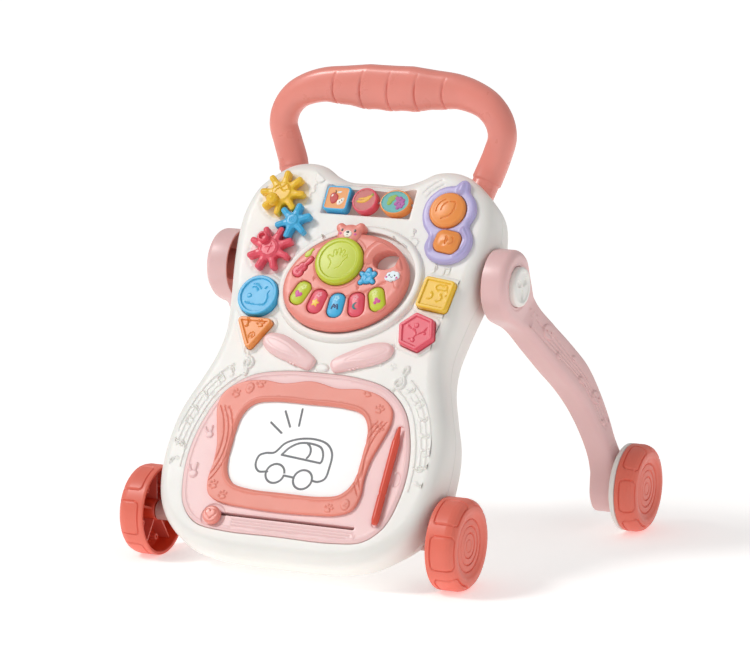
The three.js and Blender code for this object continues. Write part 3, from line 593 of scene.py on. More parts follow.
def plastic(name, code, rough=0.36, vary=0.05, grain=0.03, coat=0.12, metal=0.0, edge=0.25,
            inner=0.06, glow=0.0):
    """Moulded plastic: a faint drift of colour, sharp edges painted paler as a painted highlight, a
    fine grain and uneven gloss.
    """
    m = bpy.data.materials.new(name)
    m.use_nodes = True
    nodes, links = m.node_tree.nodes, m.node_tree.links
    base = colour(code)

    def fill_in(made, values):
        for socket, value in values.items():
            made.inputs[socket].default_value = value

    def node(kind, values=None, **sources):
        """A node with its constants, and with one output wired to each named input."""
        made = nodes.new(f"ShaderNode{kind}")
        fill_in(made, values or {})
        for socket, output in sources.items():
            links.new(output, made.inputs[socket])
        return made

    def mix(share, first, second):
        """A colour blend. first can be a colour or an output."""
        made = nodes.new("ShaderNodeMix")
        made.data_type = "RGBA"
        links.new(share, made.inputs[0])
        if hasattr(first, "is_linked"):
            links.new(first, made.inputs[6])
        else:
            made.inputs[6].default_value = (*first, 1)
        made.inputs[7].default_value = (*second, 1)
        return made.outputs[2]

    where = nodes.new("ShaderNodeTexCoord").outputs["Object"]
    drift = node("TexNoise", {"Scale": 14, "Detail": 3}, Vector=where)
    spread = node("MapRange", {"From Min": 0.32, "From Max": 0.58}, Value=drift.outputs["Fac"])
    dark = [c * (1 - vary * 1.6) for c in base]
    tone = mix(spread.outputs["Result"], dark, base)

    # Sharp convex edges are painted paler: a painted highlight, not wear. edge sets how much.
    corners = nodes.new("ShaderNodeNewGeometry").outputs["Pointiness"]
    ridge = node("MapRange", {"From Min": 0.52, "From Max": 0.62, "To Max": edge}, Value=corners)
    pale = [min(1, c * 0.75 + 0.25) for c in base]
    edge_highlighted_tone = mix(ridge.outputs["Result"], tone, pale)

    gloss = node("TexNoise", {"Scale": 55, "Detail": 5}, Vector=where)
    rub = node("MapRange", {"To Min": rough - 0.06, "To Max": rough + 0.09},
               Value=gloss.outputs["Fac"])

    fine = node("TexNoise", {"Scale": 2600, "Detail": 2}, Vector=where)
    wave = node("TexNoise", {"Scale": 22}, Vector=where)
    tops = nodes.new("ShaderNodeMath")
    tops.operation = "MULTIPLY_ADD"
    tops.inputs[1].default_value = 0.22
    links.new(fine.outputs["Fac"], tops.inputs[0])
    links.new(wave.outputs["Fac"], tops.inputs[2])
    bump = node("Bump", {"Strength": grain * 4, "Distance": 0.0004}, Height=tops.outputs["Value"])

    shader = nodes["Principled BSDF"]
    links.new(edge_highlighted_tone, shader.inputs["Base Color"])
    links.new(rub.outputs["Result"], shader.inputs["Roughness"])
    links.new(bump.outputs["Normal"], shader.inputs["Normal"])
    fill_in(shader, {
        "Metallic": metal, "Coat Weight": coat, "Coat Roughness": 0.25,
        "Subsurface Weight": 0 if metal else inner, "Subsurface Scale": 0.004,
        "Emission Color": (*base, 1), "Emission Strength": glow,
    })
    return m


FINISHES = {
    "white": ("#f3f1ec", {"rough": 0.40, "vary": 0.02, "coat": 0.08}),
    # The tray's well glows: painted light that lifts the shade inside its deep walls.
    "tray_painted_light": ("#f0e4df", {"rough": 0.5, "vary": 0.02, "glow": 0.12}),
    "salmon": ("#f09183", {"rough": 0.28, "coat": 0.25}),
    "frame": ("#f09180", {"rough": 0.42}),
    "toy": ("#ef8f82", {"rough": 0.36}),
    "pink": ("#f6cfce", {"rough": 0.38, "vary": 0.02}),
    "leg": ("#ecc2c1", {"rough": 0.36, "vary": 0.03}),
    # hollow: the legs' inner side, painted darker and redder than the leg: painted shade.
    "hollow": ("#dd8173", {"rough": 0.5}),
    "sleeve": ("#cfa8a1", {"rough": 0.45}),
    "red": ("#ee7460", {"rough": 0.40}),
    # deep: the wheels' inner hollow, painted darker and redder than the tread: painted shade.
    "deep": ("#dd4526", {"rough": 0.45}),
    "pen": ("#e4553f", {"rough": 0.34}),
    "yellow": ("#f6c62e", {"rough": 0.34}),
    "blue": ("#3fb4e6", {"rough": 0.34}),
    "crimson": ("#ea5468", {"rough": 0.34}),
    "purple": ("#bcb3e2", {"rough": 0.34, "vary": 0.03}),
    "orange": ("#f6994a", {"rough": 0.34}),
    "green": ("#c8d432", {"rough": 0.36}),
    "cream": ("#f6e7c8", {"rough": 0.45, "vary": 0.02}),
    "blush": ("#f4d6d4", {"rough": 0.45, "vary": 0.02}),
    "screen": ("#fdfdfd", {"rough": 0.3, "vary": 0.01, "grain": 0.01, "edge": 0}),
    "ink": ("#6c6e72", {"rough": 0.5, "edge": 0}),
    "black": ("#2b2326", {"rough": 0.3, "edge": 0}),
    "steel": ("#b9bcc0", {"rough": 0.3, "metal": 1.0}),
    "grey": ("#a3a19d", {"rough": 0.5}),
    # slot: the dark floor under the eraser slider's slot: painted shade.
    "slot": ("#8d5f58", {"rough": 0.6}),
    "board": ("#3d7a4b", {"rough": 0.5}),
    "field_orange": ("#f0a35c", {"rough": 0.45, "edge": 0}),
    "field_rose": ("#cf6a66", {"rough": 0.45, "edge": 0}),
    "field_teal": ("#5fb7b4", {"rough": 0.45, "edge": 0}),
    "apple": ("#c8342f", {"rough": 0.45, "edge": 0}),
    "banana": ("#f4b83a", {"rough": 0.45, "edge": 0}),
    "leaf": ("#93b93a", {"rough": 0.45, "edge": 0}),
    "grape": ("#b44fa4", {"rough": 0.45, "edge": 0}),
    "ivory": ("#fbf1e4", {"rough": 0.45, "edge": 0}),
    "magenta": ("#d9479b", {"rough": 0.45, "edge": 0}),
    "navy": ("#233a6c", {"rough": 0.45, "edge": 0}),
    "teal": ("#12757a", {"rough": 0.45, "edge": 0}),
    "sky": ("#eaf6fb", {"rough": 0.4, "edge": 0}),
    "green_pale": ("#e3e98a", {"rough": 0.4, "edge": 0}),
    "crimson_pale": ("#f39aa5", {"rough": 0.4, "edge": 0}),
    "blue_pale": ("#9edcf6", {"rough": 0.4, "edge": 0}),
}
M = {name: plastic(f"{name}_finish", code, **options) for name, (code, options) in FINISHES.items()}

# ---------------------------------------------------------------- body shells

TRIM = 0.4                        # keeps the fine outline inside the CAD's box


def body_line(count=360):
    u, w, l = 143, 126, 155
    rise = TOP + 18

    def between(a, b, share):
        return a + (b - a) * share

    half = [
        (0, TOP), (u * 0.21, TOP), (u * 0.33, TOP + 6.3), (u * 0.44, rise - 2.5), (u * 0.57, rise),
        (u * 0.7, rise - 4), (u * 0.84, TOP), (u * 0.94, up(436)), (u, up(408)), (u, up(380)),
        (between(u, w, 0.25), up(348)), (w + 4, up(303)), (w, up(270)), (w + 3, up(245)),
        (between(w, l, 0.45), up(215)), (between(w, l, 0.85), up(183)), (l, up(150)),
        (l - 2, up(112)),
        (l - 11, up(82)), (l - 27, up(60)), (l - 52, up(43)), (l - 90, FOOT + 2), (0, FOOT),
    ]
    return inset(mirrored(half, count), TRIM)


def lifted(line, share):
    """The rear shell's lower end climbs as it goes back, so that it clears the floor."""
    low = np.clip((up(130) - line[:, 1]) / (up(130) - FOOT), 0, 1)
    return line + np.stack([np.zeros(len(line)), low * share * 27], 1)


TOY = np.array([4, up(330)])
SEAT = TOY + (1.5, 2)
TILT = math.radians(12)
TRAY = np.array([0, TOP - 27])
BOARD_TOP, BOARD_FOOT, BOARD_HALF = 233, 57, 121


def board_line(grow=0.0, count=200):
    h, foot, rise = BOARD_HALF, BOARD_FOOT, BOARD_TOP - BOARD_FOOT
    half = [
        (0, 1), (h * 0.35, 0.99), (h * 0.64, 0.94), (h * 0.84, 0.82), (h * 0.955, 0.64), (h, 0.46),
        (h * 0.99, 0.3), (h * 0.92, 0.13), (h * 0.77, 0.03), (h * 0.5, 0), (0, 0),
    ]
    return inset(mirrored([(x, up(foot + rise * y)) for x, y in half], count), -grow)


def seat_line(grow=0.0, count=160):
    return oval(*SEAT, 71.5 + grow, 56.5 + grow, TILT, count)


BLOCKS = {
    "round_block": circle(*spot("round_block"), 22, 96),
    "triangle_block": regular(3, -86, up(272), 43 / math.sqrt(3), -math.pi / 2, 4),
    "square_block": rectangle(*spot("square_block"), 17, 17, 4, math.radians(-7)),
    "hexagon_block": regular(6, *spot("hexagon_block"), 21, math.radians(42), 3),
}
GEARS = {name: spot(name) for name in ("yellow_gear", "blue_gear", "red_gear")}


def staff(side):
    """Staff lines that follow the drawing board's side, with notes along the strip between them."""
    line = board_line(0, 400)
    line = line[np.argsort(-line[:, 1], kind="stable")]
    line = line[(line[:, 0] * side > 20) & (line[:, 1] > up(118)) & (line[:, 1] < up(219))]
    line = line[np.argsort(-line[:, 1])]
    out = line - [0, up(140)]
    out = out / np.linalg.norm(out, axis=1)[:, None]
    marks = [Bead(line + out * far, 0.8, 1.1) for far in (6, 22)]
    marks += [Bead((line + out * far)[8:-12], 0.6, 0.7) for far in (11.5, 17)]
    stops = [(0.07, note, 0.9), (0.2, beamed, 0.8), (0.36, note, 0.85), (0.5, note, 0.9),
             (0.64, beamed, 0.8),
             (0.8, clef, 0.55), (0.93, note, 0.8)]
    for share, glyph, size in stops:
        i = int(share * (len(line) - 1))
        at = line[i] + out[i] * 12
        lean = math.atan2(out[i][1], out[i][0]) - math.pi / 2
        marks += placed(glyph(), *at, size, lean * 0.8, 1.1)
    return marks


# A glyph, its place across and up the panel, its size, its turn and how strongly it stands out.
FACE_GLYPHS = [
    (clef, -84, 236, 1.05, 0.35, 1.2), (clef, 87, 230, 1.05, -0.3, 1.2),
    (balloon, -60, 450, 1, -0.25, 1), (note, -66, 257, 0.8, -0.5, 1), (paw, -52, 262, 1.1, 0.4, 1),
    (paw, -42, 251, 0.9, 0.5, 1), (note, 70, 263, 0.8, 0.5, 1), (paw, 62, 249, 0.9, -0.4, 1),
    (paw, 76, 246, 0.9, -0.4, 1), (note, 92, 353, 0.75, 0.1, 1), (beamed, 103, 351, 0.7, 0, 1),
    (note, 59, 391, 0.7, 0.3, 1), (note, -128, 330, 0.7, 0.2, 1),
]


def face_marks():
    """What is moulded on the front shell's face."""
    marks = [Pad(seat_line(8.2), 5.0, 4.0)]
    marks += [Pad(inset(line, -5), 1.3, 2.2) for line in BLOCKS.values()]
    marks += staff(1) + staff(-1)
    for glyph, x, y, size, turn, height in FACE_GLYPHS:
        marks += placed(glyph(), x, up(y), size, turn, height)
    marks += [Bead(arc(96, up(417), radius, 118, 150), 0.5, -0.5) for radius in (31, 37, 43)]
    marks.append(Bead(arc(62, up(383), 5, -60, 120), 0.6, 0.7))
    marks.append(Bead(spline([(84, up(308)), (88, up(305)), (92, up(307))], 8), 0.6, 0.7))
    marks.append(Pad(oval(0, up(238.5), 7.5, 5, 0, 36), 2.2, 2.5))
    for turn, glyph in ((128, note), (112, beamed), (62, note), (50, beamed)):
        at = SEAT + turned([(66.5, 0)], math.radians(turn))[0] * (1.02, 0.84)
        marks += placed(glyph(), *at, 0.62, math.radians(turn - 90), 6.0)
    return marks


def front_shell():
    line = body_line()
    wall = [(-30, 0.4), (-29.6, 0), (-24, 0.1), (-18, 0.45), (-13, 1.1), (-9, 2.3), (-6, 3.9),
            (-3.6, 6.0), (-1.8, 8.4),
            (-0.6, 10.9), (0, 14)]
    skin = Skin()
    inner = inset(line, 4)
    rings = [at_height(inner, -26), at_height(inner, -30)] + [at_height(inset(line, by), z) for z,
                                                              by in wall]
    skin.loft(rings, 0, first="flat")
    lip = 0.8
    pockets = {name: (inset(o, -FIT), -4.0) for name, o in BLOCKS.items()}
    pockets["board"] = (board_line(FIT), -8.0)
    pockets["tray"] = (rectangle(*TRAY, 50.5, 16.5, 1.5), -17.4)
    pockets["seat"] = (seat_line(0), 0.05)
    holes = {name: inset(o, -lip) for name, (o, _) in pockets.items()}
    dishes = {
        "yellow_gear": (circle(*GEARS["yellow_gear"], 26, 96), 1),
        "blue_gear": (circle(*GEARS["blue_gear"], 20.5, 96), 0),
        "red_gear": (circle(*GEARS["red_gear"], 26, 96), 2),
    }
    marks = face_marks()
    loops = [dishes[name][0] for name in ("yellow_gear", "red_gear")]
    points, faces, centres = fill(inset(line, 14), 3.0, list(holes.values()), loops, marks, 0.75)
    sunk = [Bead(closed(o), 0.9, -0.7) for o, _ in dishes.values()]
    tints = np.zeros(len(faces), int)
    for outline, tint in dishes.values():
        tints[contains(outline, centres)] = tint
    skin.add(at_height(points, relief(marks + sunk, points)), faces, tints)
    for name, (outline, depth) in pockets.items():
        brim = relief(marks, holes[name])
        foot = TRAY + (outline - TRAY) * (0.985, 0.5) if name == "tray" else None
        # The tray's well takes material 3, which glows: painted light in the well's shade.
        well(skin, outline, brim, depth, lip, 3 if name == "tray" else 0, foot)
    for name, at in GEARS.items():
        plate(circle(*at, 4.0, 32), -0.5, 8.3, 0.8, skin=skin)
    for side in (-1, 1):
        plate(circle(side * 15, up(243), 2.5, 24), -0.5, 3.9, 0.5, skin=skin)
    piece("front_shell", skin, ["white", "cream", "blush", "tray_painted_light"], "body")


SCREWS = [(-88, 402), (88, 402), (-92, 300), (92, 300), (-105, 120), (105, 120), (0, 340)]
DOOR_Y, SPEAKER_Y = 250, 150


def rear_shell():
    """The back: a doorway, a switch opening, speaker holes and sunk screw seats."""
    line = body_line()
    start = PARTING - 0.3
    depth = 33.7
    wall = [(0, 0.5), (0.4, 0.05), (8, 0.1), (15, 0.5), (21, 1.3), (25, 2.8), (28, 5.0),
            (30.4, 7.8), (32, 10.6),
            (33.2, 13.6), (depth, 17)]
    skin = Skin()
    rings = [at_height(inset(line, 4), start - 4), at_height(inset(line, 4), start)]
    rings += [at_height(inset(lifted(line, down / depth), by), start - down) for down, by in wall]
    skin.loft(rings, 0, first="flat")
    rim = inset(lifted(line, 1), wall[-1][1])
    doorway = rectangle(0, up(DOOR_Y), 36.4, 26.4, 2.5)
    switch = rectangle(62, up(DOOR_Y), 7.5, 4.6, 1.2)
    holes = [inset(doorway, -0.8), inset(switch, -0.8)]
    marks = [Pad(rectangle(0, up(DOOR_Y), 45, 35, 6), -1.0, 1.6),
             Pad(circle(0, up(SPEAKER_Y), 24, 72), -1.2, 1.4)]
    for ring, count in ((0, 1), (7, 6), (14, 12)):
        for i in range(count):
            at = turned([(ring, 0)], i / count * TAU, (0, up(SPEAKER_Y)))[0]
            marks.append(Pad(circle(*at, 2.2, 20), -3.0, 0.5))
    for x, y in SCREWS:
        marks.append(Pad(circle(x, up(y), 5, 32), -2.5, 0.8))
    for y in (195, 372):
        marks.append(Bead([(-70, up(y)), (70, up(y))], 1.2, -0.8))
    points, faces, _ = fill(rim, 4.0, holes, marks=marks, fine=0.9)
    skin.add(at_height(points, start - depth - relief(marks, points)), faces)
    for outline, floor in ((doorway, start - depth + 3.1), (switch, start - depth + 2.8)):
        hole = inset(outline, -0.8)
        rings = [at_height(hole, start - depth - relief(marks, hole)),
                 at_height(outline, start - depth + 1.6),
                 at_height(outline, floor)]
        skin.loft(rings, 0, last="flat")
    piece("rear_shell", skin, "white", "body")


# ---------------------------------------------------------------- handle

HANDLE = {"reach": 125, "rise": 91, "grip": 20, "bulge": 3.7, "side": 15, "depth": 13.3}


def to_world(x, y, z):
    """A place on the panel, in millimetres from the front axle's line on the floor."""
    s, c = math.sin(LEAN), math.cos(LEAN)
    return np.array([x, -SETBACK + y * s - z * c, y * c + z * s])


def handle_path(count):
    reach, rise = HANDLE["reach"], HANDLE["rise"]
    _, plane, base = to_world(0, TOP + 26, PARTING)
    low, mid = to_world(0, TOP - 16, PARTING), to_world(0, TOP + 4, PARTING)
    half = [
        (reach - 22, low[1], low[2]), (reach - 18, mid[1], mid[2]), (reach - 13, plane - 3, base),
        (reach - 5, plane, base + rise * 0.24), (reach, plane, base + rise * 0.44),
        (reach - 4, plane, base + rise * 0.62), (reach - 15, plane, base + rise * 0.77),
        (reach - 30, plane, base + rise * 0.86), (reach - 50, plane, base + rise * 0.915),
        (reach - 78, plane, base + rise * 0.92),
    ]
    return spline([*half, (0, plane, base + rise * 0.915), *[(-x, y, z) for x, y, z in half[::-1]]],
                  count)


def handle():
    path = handle_path(620)
    along = np.gradient(path, axis=0)
    along /= np.linalg.norm(along, axis=1)[:, None]
    inward = np.cross(along, (0, 1, 0))
    inward /= np.linalg.norm(inward, axis=1)[:, None]
    across = np.cross(along, inward)
    near = np.clip(1.25 - np.abs(path[:, 0]) / (HANDLE["reach"] * 0.8), 0, 1)
    side, grip = HANDLE["side"], HANDLE["grip"]
    half = side + (grip - side) * near + HANDLE["bulge"] * near ** 2 - 0.3
    run = np.arange(len(path)) * np.linalg.norm(path[1] - path[0])
    foot = np.minimum(run, run[-1] - run)
    t = np.linspace(0, TAU, 56, endpoint=False)
    cos, sin = np.cos(t), np.sin(t)
    flat = np.sign(cos) * np.abs(cos) ** 0.86
    deep = np.sign(sin) * np.abs(sin) ** 0.86
    rings = []
    for i, middle_point in enumerate(path):
        collar = -1.6 * (1 - np.clip((foot[i] - 33) / 2.0, 0, 1))
        wide, thick = half[i] + collar, HANDLE["depth"] + collar * 0.8
        ring = middle_point + np.outer(flat * wide, inward[i]) + np.outer(deep * thick, across[i])
        x = path[i, 0]
        for centre in (-62, -31, 0, 31, 62):
            # A finger groove bows like a bracket round the front of the grip.
            bow = x - centre - 5.0 * (cos - 0.2) ** 2
            hold = np.exp(-(bow / 1.0) ** 2) * np.clip((-deep * 0.2 + cos * 0.9 + 0.8) * 2, 0, 1)
            ring = ring - hold[:, None] * 2.1 * (np.outer(flat, inward[i]) + np.outer(deep,
                                                                                      across[i]))
        scallop = 0.55 * math.cos((x - 15.5) / 31 * TAU) * np.clip(1.4 - abs(x) / 75, 0, 1)
        under = np.clip(cos, 0, 1) ** 2
        ring = ring - np.outer(under * scallop, inward[i])
        rings.append(ring)
    skin = Skin().loft(rings, 0, first="fan", last="fan")
    piece("handle", skin, "salmon", "body", WORLD)


# ---------------------------------------------------------------- wheels and axles


FRONT_RADIUS, FRONT_WIDTH, FRONT_OUT, SLEEVE_OUT = 46, 30, 157, 125
REAR_RADIUS, REAR_WIDTH = 45.9, 22


def wheel(name, at, side, r, width, hollow):
    """A moulded wheel: ring grooves in its dished face, six windows over the tread's shoulder."""
    outer = [(0.01, width - 3.2), (5.5, width - 3.2), (6.3, width - 3.8), (7.1, width - 3.2)]
    for ring in (r * 0.27, r * 0.42, r * 0.57):
        outer += [(ring - 0.9, width - 3.2), (ring, width - 4.2), (ring + 0.9, width - 2.7)]
    outer += [(r * 0.66, width - 1.6), (r * 0.71, width - 0.5), (r * 0.76, width - 0.05),
              (r * 0.83, width - 0.4)]
    shoulder = [(r * 0.90, width - 1.8), (r * 0.955, width - 4.2), (r * 0.985, width - 7.2),
                (r, width - 10.5)]
    outer = np.array(outer + shoulder + [(r, 1.2), (r - 0.5, 0.2), (r - 1.2, 0)])
    inner = np.array([(r - 3.2, 0), (r - 3.9, 0.8), (r - 3.9, width - 11), (r - 7, width - 7.5),
                      (13, width - 7.2),
                      (11.4, width - 8.4), (11, 7), (10.2, 6), (5.2, 6), (4.4, 7),
                      (4.4, width - 7)])
    segments = 288
    t = np.linspace(0, TAU, segments, endpoint=False)
    run = even(outer, 150)
    lengths = np.concatenate([[0], np.cumsum(np.linalg.norm(np.diff(run, axis=0), axis=1))])
    slope = np.gradient(run, axis=0)
    slope /= np.linalg.norm(slope, axis=1)[:, None]
    normal = np.stack([-slope[:, 1], slope[:, 0]], 1)
    normal *= np.where(normal[-20:, 0].mean() > 0, 1, -1)
    along, place = np.meshgrid(t * r, lengths - lengths[-1] + 2.5)
    span = TAU * r / 6
    windows = rounded([(-span * 0.37, 3.5), (span * 0.37, 3.5), (span * 0.37, width * 0.98),
                       (-span * 0.37, width * 0.98)],
                      5, 6)
    local = (along + span / 2) % span - span / 2
    spots = np.stack([local.ravel(), -place.ravel()], 1)
    press = relief([Bead(closed(windows), 0.9, -1.4)], spots).reshape(along.shape)
    rings = []
    for i, (rad, out) in enumerate(run):
        rads = rad + normal[i, 0] * press[i]
        outs = out + normal[i, 1] * press[i]
        rings.append(np.stack([side * outs, rads * np.cos(t), rads * np.sin(t)], 1))
    skin = Skin().loft(rings, 0, first="fan")
    # The hollow inside takes material 1, a darker red: painted shade.
    lathe([tuple(outer[-1]), *[tuple(p) for p in inner]], side, segments, 1, skin)
    last = np.stack([np.full(segments, side * inner[-1][1]), inner[-1][0] * np.cos(t),
                     inner[-1][0] * np.sin(t)], 1)
    skin.loft([last], 1, last="flat")
    if hollow:
        for k in range(5):
            spoke(skin, side, k / 5 * TAU + 0.3, 10.5, r - 3.5, 8, width - 7.4)
            boss(skin, side, (k + 0.5) / 5 * TAU + 0.3, r * 0.62, 9, width - 7.4)
    piece(name, skin, ["red", "deep"], name, at_place(*at))


def spoke(skin, side, angle, start, end, low, high, half=0.9):
    """A flat rib inside a hollow wheel."""
    c, s = math.cos(angle), math.sin(angle)
    ring = []
    for x in (low, high):
        for r, o in ((start, -half), (end, -half), (end, half), (start, half)):
            ring.append((side * x, r * c - o * s, r * s + o * c))
    ring = np.array(ring)
    skin.loft([ring[:4], ring[4:]], 1, first="flat", last="flat")


def boss(skin, side, angle, away, low, high):
    """A screw boss inside a hollow wheel."""
    t = np.linspace(0, TAU, 20, endpoint=False)
    cy, cz = away * math.cos(angle), away * math.sin(angle)
    rings = [
        np.stack([np.full(20, side * x), cy + r * np.cos(t), cz + r * np.sin(t)], 1)
        for r, x in ((3.2, high), (3.2, low + 0.4), (2.8, low), (1.6, low), (1.6, low + 4))
    ]
    skin.loft(rings, 1, first="flat", last="flat")


def turned_piece(name, body, at, side, profile, finish, soft=0.5):
    """A lathe piece about X with softened corners."""
    piece(name, lathe(softened(profile, soft), side, 72), finish, body, at_place(*at))


SIDES = ((-1, "left"), (1, "right"))
HUB = middle("leg_knob_right")
FOOT_AT = middle("rear_axle_right")
LEG_INNER = 144


def running_gear():
    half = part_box("front_axle")[1][0] / MM
    turned_piece("front_axle", "body", AXLE - (half, 0, 0), 1, [
        (0.01, 0), (3.2, 0), (4, 0.8), (4, 2 * half - 0.8), (3.2, 2 * half), (0.01, 2 * half)],
                 "steel", 0.3)
    for side, hand in SIDES:
        wheel(f"front_wheel_{hand}", (side * FRONT_OUT, AXLE[1], AXLE[2]), side, FRONT_RADIUS,
              FRONT_WIDTH, True)
        turned_piece(f"axle_sleeve_{hand}", "body", (side * SLEEVE_OUT, AXLE[1], AXLE[2]), side, [
            (4.4, 0), (10, 0), (10, 14), (9.2, 14.2), (9.2, 15.4), (10, 15.6), (10, 36.9),
            (4.4, 36.9)],
            "sleeve")
        cover = middle(f"rear_wheel_cover_{hand}")
        inner_face, _ = outwards(f"rear_wheel_cover_{hand}")
        turned_piece(f"rear_wheel_cover_{hand}", f"rear_wheel_{hand}",
                     (side * inner_face, cover[1], cover[2]), side, [
            (4.5, 0.4), (16, 0.4), (17, 1.2), (22, 1.2), (23, 0), (41.5, 0), (REAR_RADIUS, 3.5),
                         (REAR_RADIUS, 7.4), (4.5, 7.4)],
            "white", 2.2)
        wheel(f"rear_wheel_{hand}", (side * (inner_face + 7.8), cover[1], cover[2]), side,
              REAR_RADIUS,
              REAR_WIDTH, False)
        start, end = outwards(f"rear_axle_{hand}")
        long = end - start
        turned_piece(f"rear_axle_{hand}", f"leg_{hand}", (side * start, FOOT_AT[1], FOOT_AT[2]),
                     side, [
            (0.01, 0), (6, 0), (7, 0.8), (7, 2.5), (4, 2.5), (4, long - 0.6), (3.4, long),
                         (0.01, long)],
            "steel", 0.4)
        start, end = outwards(f"leg_spindle_{hand}")
        long = end - start
        turned_piece(f"leg_spindle_{hand}", "body", (side * start, HUB[1], HUB[2]), side, [
            (5.3, 0), (17, 0), (17, 8), (12, 8), (12, long), (5.3, long)], "grey",
                     0.5)
        knob(side, hand)


def knob(side, hand):
    """The leg's locking knob: a shallow dish with three finger dimples."""
    _, tip = outwards(f"leg_knob_{hand}")
    marks = [Pad(circle(0, 0, 15.5, 72), -1.2, 2.0)]
    for k in range(3):
        at = turned([(8.2, 0)], k / 3 * TAU + 0.5)[0]
        marks.append(Pad(oval(*at, 6.0, 4.0, k / 3 * TAU + 0.5, 32), -3.4, 2.8))
    skin = plate(circle(0, 0, 20.3, 96), -7.5, 0, 3.0, marks, step=1.6)
    plate(circle(0, 0, 5, 32), -31, -7.6, 0.3, skin=skin)
    points = np.array(skin.points)
    skin.points = [tuple(p) for p in np.stack([side * (tip + points[:, 2]), points[:, 0],
                                               points[:, 1]], 1)]
    name = f"leg_knob_{hand}"
    piece(name, skin, "white", name, at_place(0, HUB[1], HUB[2]))


# ---------------------------------------------------------------- folding legs

LEG_RUN = np.array([FOOT_AT[1] - HUB[1], FOOT_AT[2] - HUB[2]])
LEG_LONG = float(np.linalg.norm(LEG_RUN))
LEG_ANGLE = math.atan2(LEG_RUN[1], LEG_RUN[0])
LEG_THICK, SPLAY, HUB_R, FOOT_R = 25.4, 52, 37, 29
LEG_SHAPE = [(0.17, 6.5, 21), (0.29, 13, 21), (0.425, 21, 22), (0.54, 27, 21), (0.65, 26, 18),
             (0.755, 20, 15.5),
             (0.85, 10.5, 14.5)]


def leg_line(count=260):
    hub = arc(0, 0, HUB_R, 62, 292, 7)
    foot = arc(LEG_LONG, 0, FOOT_R, -110, 130, 7)
    front = [(share * LEG_LONG, bow - half) for share, bow, half in LEG_SHAPE]
    rear = [(share * LEG_LONG, bow + half) for share, bow, half in LEG_SHAPE[::-1]]
    return inset(smooth([*hub, *front, *foot, *rear], count), 0.2)


def leg_marks():
    """Flowing staff lines with round notes down the leg's outer face."""
    centre = [(0.19, 8)] + [(share, bow) for share, bow, _ in LEG_SHAPE[1:-1]]
    marks = []
    for i, across in enumerate((-8.5, -4, 1, 6)):
        line = [(share * LEG_LONG, bow + across * (1 + 0.25 * math.sin(share * 9))) for share,
                bow in centre]
        marks.append(Bead(spline(line[i % 2:], 60), 0.75, -1.0))
    notes = [(0.27, 3, 9.5, 8), (0.37, -8, 4, 3.2), (0.45, 7, 4, 3.2), (0.53, -5, 4.4, 3.6),
             (0.64, 2, 8.5, 7),
             (0.73, -4, 3.6, 3)]
    for share, across, long, wide in notes:
        bow = np.interp(share, [s for s, _, _ in LEG_SHAPE], [b for _, b, _ in LEG_SHAPE])
        at = (share * LEG_LONG, bow + across)
        marks.append(Pad(oval(*at, long, wide, 0.5, 36), 2.0, 1.0))
        marks += [Pad(circle(at[0] + k, at[1] + 0.6 * k, 1.1, 14), -3.4, 0.5) for k in (-3.5,
            2.5) if long > 8]
    marks.append(Bead(arc(44, -3, 7, -70, 80), 1.1, 0.9))
    marks.append(Bead(arc(LEG_LONG * 0.86, 9, 8, 100, 250), 1.0, 0.8))
    marks += [Pad(circle(40 + 6 * k, 9 + 2 * k, 1.3, 16), 0.9, 0.9) for k in range(3)]
    marks.append(Bead(closed(circle(LEG_LONG, 0, 20, 72)), 0.8, -0.6))
    marks.append(Pad(circle(0, 0, 24.5, 72), -0.8, 1.2))
    return marks


def leg(side, hand):
    line = leg_line()
    skin = Skin()
    soft = 7.5
    rings = [at_height(inset(line, by), z) for z,
             by in [(0, 0.6), (0.3, 0.1), *edge_profile(0.8, LEG_THICK, soft, 9)]]
    skin.loft(rings, 0)
    rim = inset(line, soft)
    seat = circle(0, 0, 21, 72)
    marks = leg_marks()
    points, faces, _ = fill(rim, 3.0, [inset(seat, -0.8)], marks=marks, fine=0.75)
    skin.add(at_height(points, LEG_THICK + relief(marks, points)), faces)
    well(skin, seat, LEG_THICK + relief(marks, inset(seat, -0.8)), LEG_THICK - 2.7, 0.8)
    # The inner side is an open tray with a wall all round, two ribs and two bosses, coloured a
    # darker red pink as painted shade.
    wall = 3
    rings = [at_height(inset(line, by), z) for z, by in [
        (0, 0.6), (0, wall - 0.5), (0.5, wall), (LEG_THICK - 12, wall + 0.5),
        (LEG_THICK - 7, wall + 3),
        (LEG_THICK - 5, wall + 7)]]
    skin.loft(rings, 1, last="flat")
    for share in (0.33, 0.62):
        bow = 15 if share < 0.5 else 26
        rib = rectangle(share * LEG_LONG, bow, 1.25, 15, 0.6)
        skin.loft([at_height(rib, 1.5), at_height(rib, LEG_THICK - 5)], 1, first="flat",
                  last="flat")
    for at, outer, bore in (((0, 0), 16, 12.4), ((LEG_LONG, 0), 8.3, 4.4)):
        rings = [at_height(circle(*at, r, 48), z) for r, z in
                 ((outer, LEG_THICK - 5), (outer, 1.6), (outer - 0.6, 1), (bore, 1),
                  (bore, LEG_THICK - 5))]
        skin.loft(rings, 1, first="flat", last="flat")
    points = np.array(skin.points)
    share = np.clip((points[:, 0] - HUB_R) / (LEG_LONG - HUB_R - FOOT_R), 0, 1)
    points[:, 2] += share * SPLAY
    c, s = math.cos(LEG_ANGLE), math.sin(LEG_ANGLE)
    skin.points = [tuple(p) for p in np.stack([
        side * points[:, 2], c * points[:, 0] - s * points[:, 1],
        s * points[:, 0] + c * points[:, 1]], 1)]
    place = at_place(side * LEG_INNER, HUB[1], HUB[2])
    piece(f"leg_{hand}", skin, ["leg", "hollow"], f"leg_{hand}", place)


# ---------------------------------------------------------------- fruit tiles

TILE_SIZE, TILE_OVAL, TILE_HALF = 28, 34, 5.5


